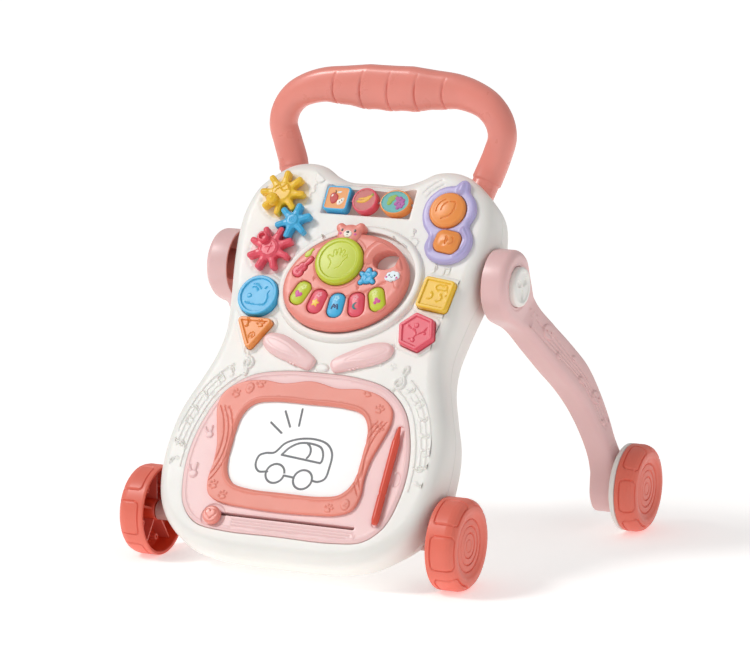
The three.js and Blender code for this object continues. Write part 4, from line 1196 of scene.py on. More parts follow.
def apple_picture():
    left = smooth([(-1, 4.6), (-4.6, 6.2), (-8, 3.2), (-7.4, -2), (-4.4, -6.4), (-1.4, -6), (1, -3),
                   (1.4, 2)], 40)
    core = smooth([(1.2, -2.6), (4, -0.8), (7, 1), (8.6, 0.2), (7.8, -4.4), (4.6, -7.4),
                   (1.6, -6.8)], 36)
    seeds = [oval(x, y, 0.7, 1.0, 0.4, 12) for x, y in ((4.4, -4.4), (6.2, -2.2))]
    stalk = stroke_outline(spline([(-3, 5), (-2.6, 7), (-3.4, 8.4)], 6), 0.5)
    leaf = smooth([(-1.4, 6.4), (1.6, 8), (4.2, 7.4), (1.6, 5.8)], 20)
    shine = oval(-5.6, 2.6, 0.9, 1.5, -0.5, 16)
    return [(left, 2, 0.35), (core, 3, 0.35), *[(line, 4, 0) for line in seeds], (stalk, 4, 0.3),
            (leaf, 5, 0.35),
            (shine, 3, 0.35)]


def banana_picture():
    first = smooth([(-8.4, -2.6), (-4, -3.6), (2, -2.2), (6.4, 2.6), (8, 6.4), (6.4, 6.6),
                    (2.6, 2.6), (-3, -0.4),
                    (-8, -1)], 44)
    second = smooth([(-7.4, 0.6), (-2, 0.2), (2.4, 2), (5.4, 5.6), (3.6, 5.2), (0, 3.2), (-5, 2.2)],
                    36)
    tips = [oval(7.4, 6.6, 1.5, 1.1, 0.9, 16), oval(-8, -1.8, 0.9, 0.8, 0, 12)]
    return [(second, 2, 0.3), (first, 2, 0.4), *[(line, 3, 0.4) for line in tips]]


def grape_picture():
    berries = [(1.5, 4.4), (5.2, 4.6), (8.6, 2.4), (3.2, 1.4), (6.6, 0.2), (1.4, -1.8), (9.2, -1.4),
               (4.8, -3),
               (7.8, -4.4), (4.2, -6)]
    leaves = [oval(-4.6, 3.6, 4.2, 3.4, 0.5, 24), oval(-6, -0.6, 3.4, 2.8, 1.2, 24),
              oval(-1.6, 6, 3, 2.4, 0, 20)]
    return [*[(line, 3, 0.3) for line in leaves],
            *[(circle(x, y, 2.2, 20), 2, 0.5) for x, y in berries]]


def tile(name, finishes, outline, rim, picture):
    """A pillow-edged block on the tray's shaft, with the same picture on both of its faces."""
    field = inset(outline, rim)
    patches = [(field, 1, -0.5), *picture]
    soft = 1.6
    skin = Skin()
    walls = edge_profile(0, TILE_HALF, soft)[1:]
    rings = [at_height(inset(outline, by), z) for z, by in walls]
    skin.loft([r * [1, 1, -1] for r in rings[::-1]] + rings, 0)
    marks = [Pad(line, rise, 0.35) for line, _, rise in patches if rise]
    points, faces, centres = fill(inset(outline, soft), 1.8, loops=[line for line, _, _ in patches],
                                  marks=marks,
                                  fine=0.55)
    tints = np.zeros(len(faces), int)
    for line, tint, _ in patches:
        tints[contains(line, centres)] = tint
    surface = at_height(points, TILE_HALF + relief(marks, points))
    skin.add(surface, faces, tints)
    skin.add(surface * [1, -1, -1], faces, tints)
    x, y = spot(name)
    place = PANEL @ Matrix.Translation((x, y, -2))
    piece(name, skin, finishes, name, place)


def tiles():
    half = TILE_SIZE / 2
    tile("apple_tile", ["blue", "field_orange", "apple", "ivory", "black", "sky"],
         rectangle(0, 0, half, half, 5), 2.2, apple_picture())
    tile("banana_tile", ["crimson", "field_rose", "banana", "leaf"],
         circle(0, 0, half, 96), 2.0, banana_picture())
    tile("grape_tile", ["orange", "field_teal", "grape", "leaf"],
         oval(0, 0, TILE_OVAL / 2, half, 0, 96), 1.9, grape_picture())
    low, high = on_panel("tile_shaft")
    long = high[0] - low[0]
    place = PANEL @ Matrix.Translation((low[0], TRAY[1], -2))
    skin = lathe([(0.01, 0), (1.5, 0), (1.5, long), (0.01, long)], 1, 32)
    piece("tile_shaft", skin, "steel", "body", place)


# ---------------------------------------------------------------- gear train

MODULE, GEAR_LOW, GEAR_HIGH = 5.286, 2, 10
PITCH = {8: MODULE * 4, 6: MODULE * 3}
YELLOW_ANGLE, RED_ANGLE, TURNED = math.radians(124.5), math.radians(241.7), math.radians(-12)


def gear_line(teeth, turn):
    pitch = PITCH[teeth]
    root, tip = pitch - (8.0 if teeth == 8 else 6.8), pitch + 4.2
    outline = []
    for i in range(teeth):
        tooth = [(root, -4.3), (root + 3.2, -3.3), (tip - 3.6, -3.3), (tip - 0.9, -2.6), (tip, 0),
                 (tip - 0.9, 2.6),
                 (tip - 3.6, 3.3), (root + 3.2, 3.3), (root, 4.3)]
        line = [(math.sqrt(r * r - side * side), side) for r, side in tooth]
        outline += list(turned(line, turn + i / teeth * TAU))
    return smooth(outline, teeth * 30)


def gear_turns():
    half_tooth = math.pi / 8
    lag = RED_ANGLE - (YELLOW_ANGLE + 2 * TAU / 6)
    yellow = YELLOW_ANGLE + math.pi + half_tooth + TURNED
    blue = YELLOW_ANGLE - TURNED * 8 / 6
    red = RED_ANGLE + math.pi + half_tooth + lag * 6 / 8 + TURNED
    return {"yellow_gear": yellow, "blue_gear": blue, "red_gear": red}


def gear(name, finish, teeth, marks, peg=None, hollow=False):
    turn = gear_turns()[name]
    marks = [*marks, *[Bead([turned([(PITCH[teeth] - 3, 0)], turn + i / teeth * TAU)[0],
                             turned([(PITCH[teeth] + 2.4, 0)], turn + i / teeth * TAU)[0]], 2.2,
                            0.5)
                       for i in range(teeth)]]
    skin = plate(gear_line(teeth, turn), GEAR_LOW, GEAR_HIGH, 1.5, marks, step=1.8, dome=0.5)
    if peg is not None:
        at = turned([(PITCH[8] * 0.56, 0)], math.radians(peg))[0]
        cup = [Pad(circle(*at, 3.6, 40), -3.4, 0.8)] if hollow else []
        high = GEAR_HIGH + (7.2 if hollow else 6.6)
        plate(circle(*at, 5.9 if hollow else 6.2, 64), GEAR_HIGH - 1, high, 1.6 if hollow else 2.4,
              cup, step=0.9,
              dome=0 if hollow else 1.2, skin=skin, fine=0.45)
    place = PANEL @ Matrix.Translation((*GEARS[name], 0))
    piece(name, skin, finish, name, place)


def gears():
    hills = [Bead(spline([(-8, 4), (-4, 7.8), (-1, 4.6), (4, 8.4), (8, 3)], 30), 0.9, 2.2),
             Bead(spline([(-7, 0), (-3, 4), (2, 1), (7, 3)], 24), 0.8, 1.9)]
    gear("yellow_gear", "yellow", 8,
         [Pad(circle(0, 0, 10.5, 60), 1.0, 1.2), *hills], peg=235)
    t = np.linspace(0.4, 2.2 * TAU, 60)
    curl = np.stack([0.27 * t * np.cos(t), 0.27 * t * np.sin(t)], 1)
    dots = [Pad(circle(*turned([(8.6, 0)], 4.1 + 0.5 * k)[0], 0.8, 14), 0.5, 0.5) for k in range(4)]
    gear("blue_gear", "blue", 6, [Pad(circle(0, 0, 6.6, 48), 1.2, 1.4), *placed(
        [Bead(curl, 0.6, 0.5)], 0, 0, 1, 0, 3.4), *dots])
    hands = [Bead([(0.5, -6), (2.5, 4.5)], 0.6, 1.9), Bead([(-3.5, -1), (5, 1)], 0.5, 1.8)]
    gear("red_gear", "crimson", 8, [Pad(circle(0, -1, 11, 60), 1.2, 1.2),
                                                     Bead(closed(circle(0, -1, 8.4, 60)), 0.55,
                                                          1.8), *hands],
         peg=130, hollow=True)


# ---------------------------------------------------------------- bear cover and its call buttons

CALL, NOTE = spot("call_button"), spot("note_button")


def around(shapes, centre, count=240, blur=4):
    """The outer line of overlapping outlines round a centre inside them, its creases softened."""
    angles = np.linspace(0, TAU, count, endpoint=False)
    radius = np.zeros(count)
    for shape in shapes:
        a = shape - centre
        b = np.roll(a, -1, 0)
        for i, t in enumerate(angles):
            d = np.array([math.cos(t), math.sin(t)])
            side_a = a[:, 0] * d[1] - a[:, 1] * d[0]
            side_b = b[:, 0] * d[1] - b[:, 1] * d[0]
            crosses = side_a * side_b < 0
            if crosses.any():
                share = side_a[crosses] / (side_a[crosses] - side_b[crosses])
                reach = (a[crosses] + (b[crosses] - a[crosses]) * share[:, None]) @ d
                radius[i] = max(radius[i], reach.max())
    for _ in range(blur):
        radius = (np.roll(radius, 1) + 2 * radius + np.roll(radius, -1)) / 4
    line = centre + radius[:, None] * np.stack([np.cos(angles), np.sin(angles)], 1)
    return anticlockwise(even(np.vstack([line, line[:1]]), count, closed=True))


def bear():
    body = smooth([
        CALL + (0, 29.3), CALL + (-15, 25.2), CALL + (-26, 13), CALL + (-28.6, -2),
        CALL + (-24, -17),
        NOTE + (-23.6, 6), NOTE + (-25.4, -5), NOTE + (-19, -17), NOTE + (-6, -22.6),
        NOTE + (9, -21.5),
        NOTE + (21, -13), NOTE + (25.4, 0), NOTE + (23.5, 10), CALL + (25.6, -14), CALL + (29.3, 0),
        CALL + (25.5, 14), CALL + (14, 25.6)], 240)
    tip = circle(CALL[0] + 9, CALL[1] + 29.5, 7.0, 40)
    outline = around([body, tip], (CALL + NOTE) / 2 + (0, 4), 300, 6)
    right = spline([CALL + (22, -20), NOTE + (22, 5), NOTE + (19, -8), NOTE + (13, -14)], 30)
    left = spline([CALL + (-19, -24), NOTE + (-20, 2), NOTE + (-18, -8)], 24)
    marks = [Swell(right + (1.2, 0), 6.5, 2.2), Swell(left, 5, 1.2),
             Swell([CALL + (8, 24), CALL + (9, 31)], 6, 2.2)]
    button = circle(*CALL, 19.5, 110)
    key = rectangle(*NOTE, 14, 12.2, 8.5, math.radians(-8))
    skin = plate(outline, 0.3, 6.4, 3.6, marks, [inset(button, -FIT), inset(key, -FIT)], step=2.2,
                 fine=0.9, lip=0.9)
    piece("bear_cover", skin, "purple", "body")

    rest = 3.3
    lines = [Bead(arc(*(CALL + (2, -1)), 12.5, 115, 190), 0.8, -1.1),
             Bead(arc(*(CALL + (4, -1)), 9, 115, 185), 0.8, -1.1),
             Bead(spline([CALL + (3, 8), CALL + (8, 8), CALL + (9, 2), CALL + (5, -7),
                          CALL + (-3, -11)], 30), 0.9, -1.1)]
    skin = plate(button, rest, 10.6, 3.2, lines, step=1.6, dome=2.2, fine=0.5)
    piece("call_button", skin, "orange", "call_button")
    symbol = placed(note(), *(NOTE + (-2, -4)), 0.8, 0.0, -0.75)
    symbol += [Bead(arc(*(NOTE + (4, 0)), 4.2, -80, 60), 0.8, -1.0)]
    skin = plate(key, rest, 9.6, 3.0, symbol, step=1.6, dome=1.6, fine=0.5)
    piece("note_button", skin, "orange", "note_button")


# ---------------------------------------------------------------- shape blocks


def block_marks(name):
    x, y = BLOCKS[name].mean(0)
    if name == "round_block":
        slice_line = spline([(12, 6), (10.5, 3), (11.5, -2), (9.5, -9), (-9, -9.5), (-12, -8)], 40)
        marks = [Bead(slice_line, 0.6, 0.7), Pad(circle(-9, -1, 2.4, 24), 0.8, 0.8),
                 Bead(arc(-6, 4, 5, 20, 110), 0.6, 0.7),
                 Bead(arc(-6, 4, 8.4, 25, 100), 0.6, 0.7), Bead([(6, 8), (8, 10)], 0.6, 0.6)]
    elif name == "triangle_block":
        t = np.linspace(0.4, 1.6 * TAU, 40)
        curl = np.stack([0.42 * t * np.cos(t), 0.42 * t * np.sin(t)], 1)
        marks = [Bead(curl + (1.5, -7.5), 0.55, 0.8), *placed(note(), -8, 3.5, 0.7, 0.3),
                 *placed(paw(), 7.5, 5, 1.0, 0.2)]
    elif name == "square_block":
        puff = smooth([(-1, 8), (2, 10.5), (5.5, 9.5), (9.5, 10), (11, 7), (9.5, 4), (5, 4.6),
                       (1, 4.4)], 40)
        marks = [Bead(arc(-7, -2, 4, -110, 60), 0.7, 0.8),
                 Bead(arc(3.5, -3.5, 4, -110, 60), 0.7, 0.8),
                 Bead(closed(puff), 0.55, 0.7), Bead(arc(9, 1.5, 4, -60, 60), 0.6, 0.7)]
    else:
        marks = [Pad(circle(-1, 6.5, 2.6, 24), 0.8, 0.9),
                 Bead(arc(-5, -3, 5.5, -100, 80), 0.7, 0.8),
                 Pad(circle(-1.5, -9.5, 2.2, 24), 0.8, 0.8), Bead([(-10, 6), (-6, 3)], 0.6, 0.7),
                 Bead(spline([(3, -2.5), (8, 0.5), (10.5, 5)], 16), 0.6, 0.7),
                 Pad(circle(9.5, -1.5, 1.4, 18), 0.7, 0.7)]
    return placed(marks, x, y)


def blocks():
    looks = {"round_block": ("blue", "blue_plastic"),
             "triangle_block": ("orange", "orange_plastic"),
             "square_block": ("yellow", "yellow_plastic"),
             "hexagon_block": ("crimson", "crimson_plastic")}
    for name, (finish, slot) in looks.items():
        outline = BLOCKS[name]
        field = Pad(inset(outline, 3.4), -1.5, 0.9)
        skin = plate(outline, -3.7, 8.0, 1.3, [field, *block_marks(name)], step=2, fine=0.55)
        piece(name, skin, finish, name)


# ---------------------------------------------------------------- lift-off music toy

DRUM = TOY + (-10, 20)
KEY_HALF_X, KEY_HALF_Y, KEY_FAN, KEY_FAN_RADIUS, KEY_TOP = 8.75, 13.5, 13.5, 94.5, 14.2
TOY_LOW, TOY_TOP, KEY_REST = 3.3, 13.0, 5.4
VIOLIN, VIOLIN_TURN = TOY + (-50, 10), math.radians(-38)
TURTLE = TOY + (25, 5)


def toy_line():
    return oval(*TOY, 68, 53, TILT, 300)


def key_lines():
    pivot = TOY + (-1.5, 67)
    lines = []
    for i in range(-2, 3):
        turn = math.radians(i * KEY_FAN)
        at = turned([(0, -KEY_FAN_RADIUS)], turn, pivot)[0]
        lines.append((at, turn, rectangle(*at, KEY_HALF_X, KEY_HALF_Y, 7.8, turn * 0.8)))
    return lines


def violin_line():
    parts = [oval(0, -5.5, 6.3, 5.6, 0, 60), oval(0, 1.4, 4.7, 4.4, 0, 50),
             rectangle(0, 8, 1.7, 6, 1), circle(0, 12.6, 3, 40)]
    return turned(around(parts, np.array([0, 0]), 160, 3), VIOLIN_TURN, VIOLIN)


def turtle_line():
    bumps = [circle(*turned([(8.2, 0)], math.radians(a))[0], r, 30) for a, r in
             ((35, 2.9), (88, 2.9), (150, 2.5), (222, 2.9), (-30, 2.5))]
    return around([circle(0, 0, 7.6, 60), *bumps], np.array([0, 0]), 160, 9) + TURTLE


def key_symbols(i):
    """A flower at the key's head and one coloured sign below it, in the key's own directions."""
    flowers = [circle(*turned([(1.9, 0)], k / 5 * TAU, (0, 7.2))[0], 1.25, 14) for k in range(5)]
    signs = [
        [heart() * 4.4], [star() * 5.2],
        [stroke_outline(spline([(-3, -2), (-1.2, 2.6), (0.4, -1), (2, 2.6), (3.4, -2)], 24), 0.9)],
        [anticlockwise(np.vstack([arc(0, 0, 3.8, 60, 300, 20), arc(2.2, 0, 3.3, 270, 90, 14)]))],
        [circle(0, 1.4, 2.0, 20), circle(-2, -1.6, 2.0, 20), circle(2, -1.6, 2.0, 20)],
    ]
    return flowers, [line + (0, -2.5) for line in signs[i]]


def music_toy():
    grip, grip_hole = TOY + (40, 25), oval(*(TOY + (40, 26)), 14, 10.5, TILT, 80)
    keys = key_lines()
    smile = spline([TOY + (-46, -4), TOY + (-24, -15), TOY + (0, -18.5), TOY + (24, -12),
                    TOY + (46, 2)], 60)
    marks = [
        Bead(arc(*grip, 19.5, -8, 176, 90), 7.0, 3.6), Bead(smile, 1.3, -1.1),
        Bead(closed(circle(*DRUM, 29.2, 110)), 1.8, 0.9),
        *placed(note(), *(TOY + (-34, -3)), 0.5, 0.2, -0.5),
        *placed(note(), *(TOY + (17, -10)), 0.5, 0.4, -0.5),
        *placed(paw(), *(TOY + (53, -8)), 0.8, -0.5, -0.5),
        Pad(oval(*(TOY + (60, 3)), 6, 8, 0.2, 40), 1.6, 2.4),
    ]
    openings = [circle(*DRUM, 26, 120), *[line for _, _, line in keys], violin_line(),
                turtle_line()]
    holes = [inset(line, -FIT) for line in openings] + [grip_hole]
    skin = plate(toy_line(), TOY_LOW, TOY_TOP, 4.2, marks, holes, step=2.4, fine=0.75, lip=0.8)
    head = around([oval(-8, 50, 13.4, 12.6, 0, 70), circle(-19.5, 58.5, 5.2, 40),
                   circle(2, 60, 5.2, 40)],
                  np.array([-8.5, 51]), 200, 5) + TOY
    plate(head, TOY_LOW, TOY_TOP + 2.4, 4.0, skin=skin, step=1.6, dome=0.5)
    bear_face(skin)
    cloud_face(skin)
    maraca = around([oval(0, 0, 4.6, 3.2, 0, 40), oval(5, 0.5, 3.2, 1.6, 0, 30)],
                    np.array([1.0, 0.0]), 90, 2)
    plate(turned(maraca, 0.9, TOY + (-47, 26)), TOY_TOP - 2, TOY_TOP + 1.4, 1.2, skin=skin, tint=6,
          step=1.2)
    piece("toy_shell", skin, ["toy", "ivory", "black", "magenta", "sky", "blush", "green"],
          "music_toy")
    back = plate(inset(toy_line(), 1.2), 0.4, 3.0, 0.4, holes=[grip_hole])
    for at in ((-52, -10), (-28, -38), (32, -38), (52, 2)):
        plate(circle(*(TOY + at), 2.8, 24), 0.3, 0.9, 0.1, skin=back, tint=1)
    piece("toy_back", back, ["salmon", "steel"], "music_toy")

    palms = spline([(-8, -12), (-7, -4), (-12, 2), (-10.5, 4), (-6, 2), (-6.5, 9), (-4.4, 10),
                    (-2.8, 4), (-1.6, 11.5),
                    (0.8, 11.5), (1.2, 4.4), (4, 10.4), (6, 9.4), (4.6, 3), (9, 5.4), (10, 3.4),
                    (6.4, -2), (4, -8),
                    (-1, -11)], 110)
    lines = [Bead(palms + DRUM + (0, 1), 0.8, -1.5), Pad(circle(*DRUM, 20.5, 100), -1.2, 1.0)]
    lines += [Bead(closed(circle(*DRUM, r, 100)), 0.5, -0.5) for r in (18.4, 16)]
    skin = plate(openings[0], KEY_REST, 19.0, 3.6, lines, step=1.8, fine=0.55, dome=0.9)
    piece("drum_button", skin, "green", "drum_button")

    looks = [("green", "magenta"), ("crimson", "yellow"), ("blue", "navy"), ("crimson", "teal"),
             ("green", "magenta")]
    for i, ((at, turn, line), (finish, sign)) in enumerate(zip(keys, looks)):
        flowers, signs = key_symbols(i)
        patches = [(turned(f, turn, at), 2, 0.12) for f in flowers]
        patches += [(turned(f, turn, at), 1, 0.15) for f in signs]
        skin = plate(line, KEY_REST, KEY_TOP, 3.2, [], patches=patches, step=1.6, fine=0.5,
                     dome=0.8)
        name = f"piano_key_{i + 1}"
        piece(name, skin, [finish, sign, f"{finish}_pale"], name)
    strings = [Bead(turned([(x, -7), (x, 9)], VIOLIN_TURN, VIOLIN), 0.35, 0.35) for x in (-0.9,
                                                                                          0.9)]
    skin = plate(violin_line(), KEY_REST, 15.4, 1.6, strings, step=1.2, fine=0.45)
    piece("violin_button", skin, "crimson", "violin_button")
    shell_lines = [Bead(closed(circle(*TURTLE, 5.4, 50)), 0.5, 0.5)]
    shell_lines += [Bead([TURTLE, TURTLE + turned([(5, 0)], a)[0]], 0.4, 0.4) for a in (0.5, 2.4,
                                                                                        4.4)]
    skin = plate(turtle_line(), KEY_REST, 15.2, 1.6, shell_lines, step=1.2, fine=0.45)
    piece("tambourine_button", skin, "blue", "tambourine_button")


def bear_face(skin):
    """A muzzle, a nose and a mouth, then an eye and a cheek on each side."""
    at = TOY + (-8.5, 50)
    high = TOY_TOP + 2.8
    # Place, half sizes, points, how far it starts below and ends above the face, edge, colour, grid.
    parts = [
        (0, 0.5, 4.6, 4.0, 48, 2, 0.9, 0.8, 1, 1.2), (0, 2.2, 1.7, 1.2, 24, 1, 1.4, 0.5, 2, 1),
        (0, -0.9, 1.0, 0.35, 16, 1, 1.05, 0.1, 2, 1),
    ]
    for side in (-1, 1):
        parts.append((side * 7.2, 4.6, 1.2, 1.6, 24, 2.4, 0.35, 0.4, 2, 1))
        parts.append((side * 8.2, 0.6, 1.5, 1.1, 20, 2.6, 0.1, 0.1, 3, 1))
    for x, y, a, b, count, down, rise, soft, tint, step in parts:
        line = oval(*(at + (x, y)), a, b, 0, count)
        plate(line, high - down, high + rise, soft, skin=skin, tint=tint, step=step)


def cloud_face(skin):
    """The cloud, its eyes and cheeks, and its smile."""
    at = TOY + (52.5, 8)
    high = TOY_TOP + 3.0
    plate(turned(cloud() * 1.2, 0.25, at), TOY_TOP - 2, high, 1.0, skin=skin, tint=4, step=1.2)
    parts = []
    for side in (-1, 1):
        parts.append((circle(*(at + (side * 3.0, 0.8)), 0.85, 18), 0.15, 0.1, 2))
        parts.append((circle(*(at + (side * 5.6, -1.4)), 1.2, 18), 0.12, 0.05, 3))
    parts.append((stroke_outline(arc(at[0], at[1] - 0.2, 1.3, 210, 330, 8), 0.28), 0.15, 0.05, 2))
    for line, rise, soft, tint in parts:
        plate(line, high - 0.6, high + rise, soft, skin=skin, tint=tint, step=1)


# ---------------------------------------------------------------- rabbit ears and drawing board

EAR_LONG, EAR_WIDE = 62, 22
SCREEN_Y, SLIDER_X, SLIDER_Y, PEN_X = 149.5, -74, 74, 103


def ear_line():
    long, wide = EAR_LONG, EAR_WIDE
    return smooth([
        (-6.5, -1), (-4, -7.5), (3, -9.5), (long * 0.3, -wide * 0.46), (long * 0.55, -wide * 0.52),
        (long * 0.78, -wide * 0.49), (long * 0.95, -wide * 0.28), (long, wide * 0.05),
        (long * 0.93, wide * 0.36),
        (long * 0.75, wide * 0.55), (long * 0.55, wide * 0.58), (long * 0.3, wide * 0.5), (2, 8),
        (-5, 5),
    ], 200)


def ears():
    for side, hand in SIDES:
        turn = math.radians(21 if side > 0 else 159)
        at = (side * 15, up(243))
        outline = anticlockwise(turned(ear_line() * [1, side], turn, at))
        rim = turned(spline([(12, 0), (34, 4.2), (52, 3), (57, 0), (50, -3.6), (32, -4.6), (12, 0)],
                            60) * [1, side], turn, at)
        skin = plate(inset(outline, 0.2), 0.3, 5.6, 4.0, [Bead(rim, 1.0, -0.25)], step=2, dome=1.3,
                     fine=0.8)
        # A ratchet tooth block under the ear, where it clicks against the board.
        for k in range(3):
            tooth = rectangle(14 + 4.2 * k, -side * 8.2, 1.3, 2.6, 0.6)
            plate(turned(tooth, turn, at), 0.4, 3.4, 0.4, skin=skin, step=2)
        piece(f"rabbit_ear_{hand}", skin, "pink", f"rabbit_ear_{hand}")


def screen_line(grow=0.0):
    half = [(0, 48.2), (40, 47.6), (60, 43), (70, 30), (72.6, 0), (70, -30), (60, -43), (40, -47.6),
            (0, -48.2)]
    return inset(mirrored(half, 200) + (-2, up(SCREEN_Y)), -grow)


def frame_line():
    half = [(0, 222), (30, 217), (55, 218.5), (79, 213), (94, 201), (97, 186), (92, 166), (86, 146),
            (84, 126),
            (85, 107), (80, 92), (66, 85), (35, 82), (0, 81)]
    return mirrored([(x, up(y)) for x, y in half], 260) - (5, 0)


def stroke_outline(line, half):
    """The closed outline of a pen stroke with round ends."""
    line = np.array(line, float)
    run = np.gradient(line, axis=0)
    run /= np.linalg.norm(run, axis=1)[:, None]
    out = np.stack([-run[:, 1], run[:, 0]], 1) * half
    t = np.linspace(0, math.pi, 7)[1:-1]

    def cap(centre, side, way):
        return [centre + side * math.cos(a) + way * half * math.sin(a) for a in t]

    loop = [*(line - out), *cap(line[-1], -out[-1], run[-1]), *(line + out)[::-1],
            *cap(line[0], out[0], -run[0])]
    return anticlockwise(np.array(loop))


def drawing():
    """A toy car in one grey line, with three rays above it, about the screen's centre."""
    body = spline([(-19, -17), (-27.5, -17.5), (-32, -12), (-31, -3), (-25.5, 0), (-17, 1.5),
                   (-9, 11), (4, 16.5),
                   (20, 17.5), (32, 14), (38.5, 6), (39.5, -8), (38, -18), (32, -21.5), (26, -21)],
                  120)
    window = spline([(-9.5, 0), (-3.5, 7.5), (5, 12.5), (18, 13), (27, 10), (30.5, 3), (30.5, -2.5),
                     (29.5, -4)], 70)
    sill, post = [(-9.5, 0), (10, -2), (29.5, -4)], arc(9, 5, 8.6, -40, 62, 16)
    wheels = [arc(-11, -18, 9, 0, 359.5, 60), arc(17, -21, 9, 0, 359.5, 60)]
    rays = [[(-37, 25.5), (-22.5, 15.5)], [(-24.5, 39), (-15, 23)], [(-6.5, 43), (-5.5, 25)]]
    car = [body, window, even(np.array(sill, float), 20), post, np.array([(-2, -19), (8, -20)]),
           *wheels]
    lines = [np.array(line, float) * 1.13 + (-5, -7.5) for line in car] + [np.array(line,
        float) for line in rays]
    return [stroke_outline(even(line, max(4, len(line))), 1.15) for line in lines]


def board():
    low = -7.7
    y = up(SLIDER_Y)
    slot = rectangle(1.2, y, 80, 1.6, 1.2)
    groove = rectangle(PEN_X, up(79) + 52, 4.9, 54, 4.6)
    pocket = rectangle(0.3, up(SCREEN_Y), 78.3, 51.5, 12)
    tracks = [Bead([(-52, y - 5 - 3 * k), (82 - 3.4 * k, y - 5 - 3 * k)], 0.55,
                   -0.45) for k in range(4)]
    marks = [
        *tracks, Pad(circle(SLIDER_X, y - 4, 13.5, 72), -1.1, 1.4),
        Bead([(84, y - 12), (84, y - 8)], 0.6, -0.5),
        *placed(bunny(), -103, up(155), 1.0, 0.35), *placed(bunny(), -109, up(112), 1.15, 0.3),
        *placed(bunny(), -95, up(189), 0.8, 0.3),
        Pad(oval(111.5, up(129), 5.2, 8, 0, 40), -1.0, 1.4),
        Bead(closed(inset(board_line(0, 260), 3.2)), 1.6, 0.5),
    ]
    skin = plate(board_line(0, 300), low, 1.5, 1.6, marks, [slot, pocket, groove], step=3, fine=0.7,
                 lip=0.5)
    plate(inset(groove, 0.05), low + 0.3, 0.2, 0.2, skin=skin)
    # A dark floor closes the slider's slot: painted shade in the deep, narrow slot.
    plate(inset(slot, -2.5), low + 0.3, low + 1.2, 0.2, skin=skin, tint=1)
    piece("board_base", skin, ["pink", "slot"], "body")


def board_frame():
    x0 = -5
    paws = [(-82, 200, 0.5), (-58, 213, 0.2), (62, 214, 0.2), (78, 198, -0.2), (83, 178, -0.4),
            (-79, 101, 0.5),
            (-66, 91, 0.4), (52, 89.5, -0.2)]
    marks = []
    for x, y, turn in paws:
        marks += placed(paw(), x + x0 + 3, up(y), 1.15, turn, 0.9)
    for x, y in ((-70, 208), (68, 96)):
        marks += [Pad(oval(x + x0 + 4, up(y), 4.6, 6.0, 0, 40), 0.9, 1.2)]
        marks += [Bead([(x + x0 + 2.4, up(y + k)), (x + x0 + 5.6, up(y + k) - 0.5)], 0.4,
                       1.4) for k in (-1.2, 1.2)]
    for side in (-1, 1):
        for k in range(3):
            line = arc(side * (148 - 5 * k) + x0, up(146), 68, 180 - 36 if side > 0 else -36,
                       180 + 36 if side > 0 else 36)
            marks.append(Bead(line, 0.75, -0.9))
    marks.append(Bead(closed(screen_line(3.4)), 1.5, 0.7))
    skin = plate(frame_line(), 1.8, 5.0, 1.3, marks, [screen_line(0)], step=2.4, fine=0.6, lip=1.6)
    piece("board_frame", skin, "frame", "body")
    centre = (-2, up(SCREEN_Y))
    patches = [(line + centre, 1, 0) for line in drawing()]
    skin = plate(screen_line(4), -1.9, 1.5, 0.1, patches=patches, step=8)
    piece("drawing_screen", skin, ["screen", "ink"], "body", sharp=10)


def slider():
    low, high = on_panel("eraser_slider")
    y = up(SLIDER_Y)
    at = np.array([SLIDER_X, y - 4])
    face = [Pad(heart() * 6.2 + at + (0, 0.6), 0.9, 0.9),
            Bead(closed(circle(*at, 7.6, 60)), 0.5, -0.3)]
    skin = plate(circle(*at, 9.3, 96), 1.8, 8.4, 2.2, face, step=1.5, fine=0.5)
    plate(rectangle(SLIDER_X, y, 4, 1.1, 0.6), -6, 2.2, 0.2, skin=skin)
    plate(rectangle(SLIDER_X, (low[1] + y) / 2 + (high[1] - low[1]) / 2, 2, (high[1] - y) / 2, 0.6),
          -5.2, -3.8, 0.2, skin=skin)
    piece("eraser_slider", skin, "salmon", "eraser_slider")


def pen():
    low, high = on_panel("magnet_pen")
    long = high[1] - low[1]
    segments = 96
    t = np.linspace(0, TAU, segments, endpoint=False)
    profile = softened([(0.01, 0), (2.6, 0), (3.9, 5), (3.9, 30), (3.5, 31), (3.5, 33), (3.9, 34),
                        (3.9, long - 16),
                        (3.3, long - 14), (1.7, long - 3), (1.2, long), (0.01, long)], 1.2)
    rings = []
    for r, v in profile:
        flat = r * (1 - 0.05 * np.cos(3 * t) ** 2 * (8 < v < long - 18))
        rings.append(np.stack([PEN_X + flat * np.cos(t), np.full(segments, low[1] + v),
                               4.9 + flat * np.sin(t)], 1))
    skin = Skin().loft(rings, 0)
    piece("magnet_pen", skin, "pen", "magnet_pen")


# ---------------------------------------------------------------- back of the body


def facing_back(skin, level):
    """Turns a skin drawn facing forwards to face the back, its base at a level behind the panel."""
    skin.points = [(x, y, level - z) for x, y, z in skin.points]


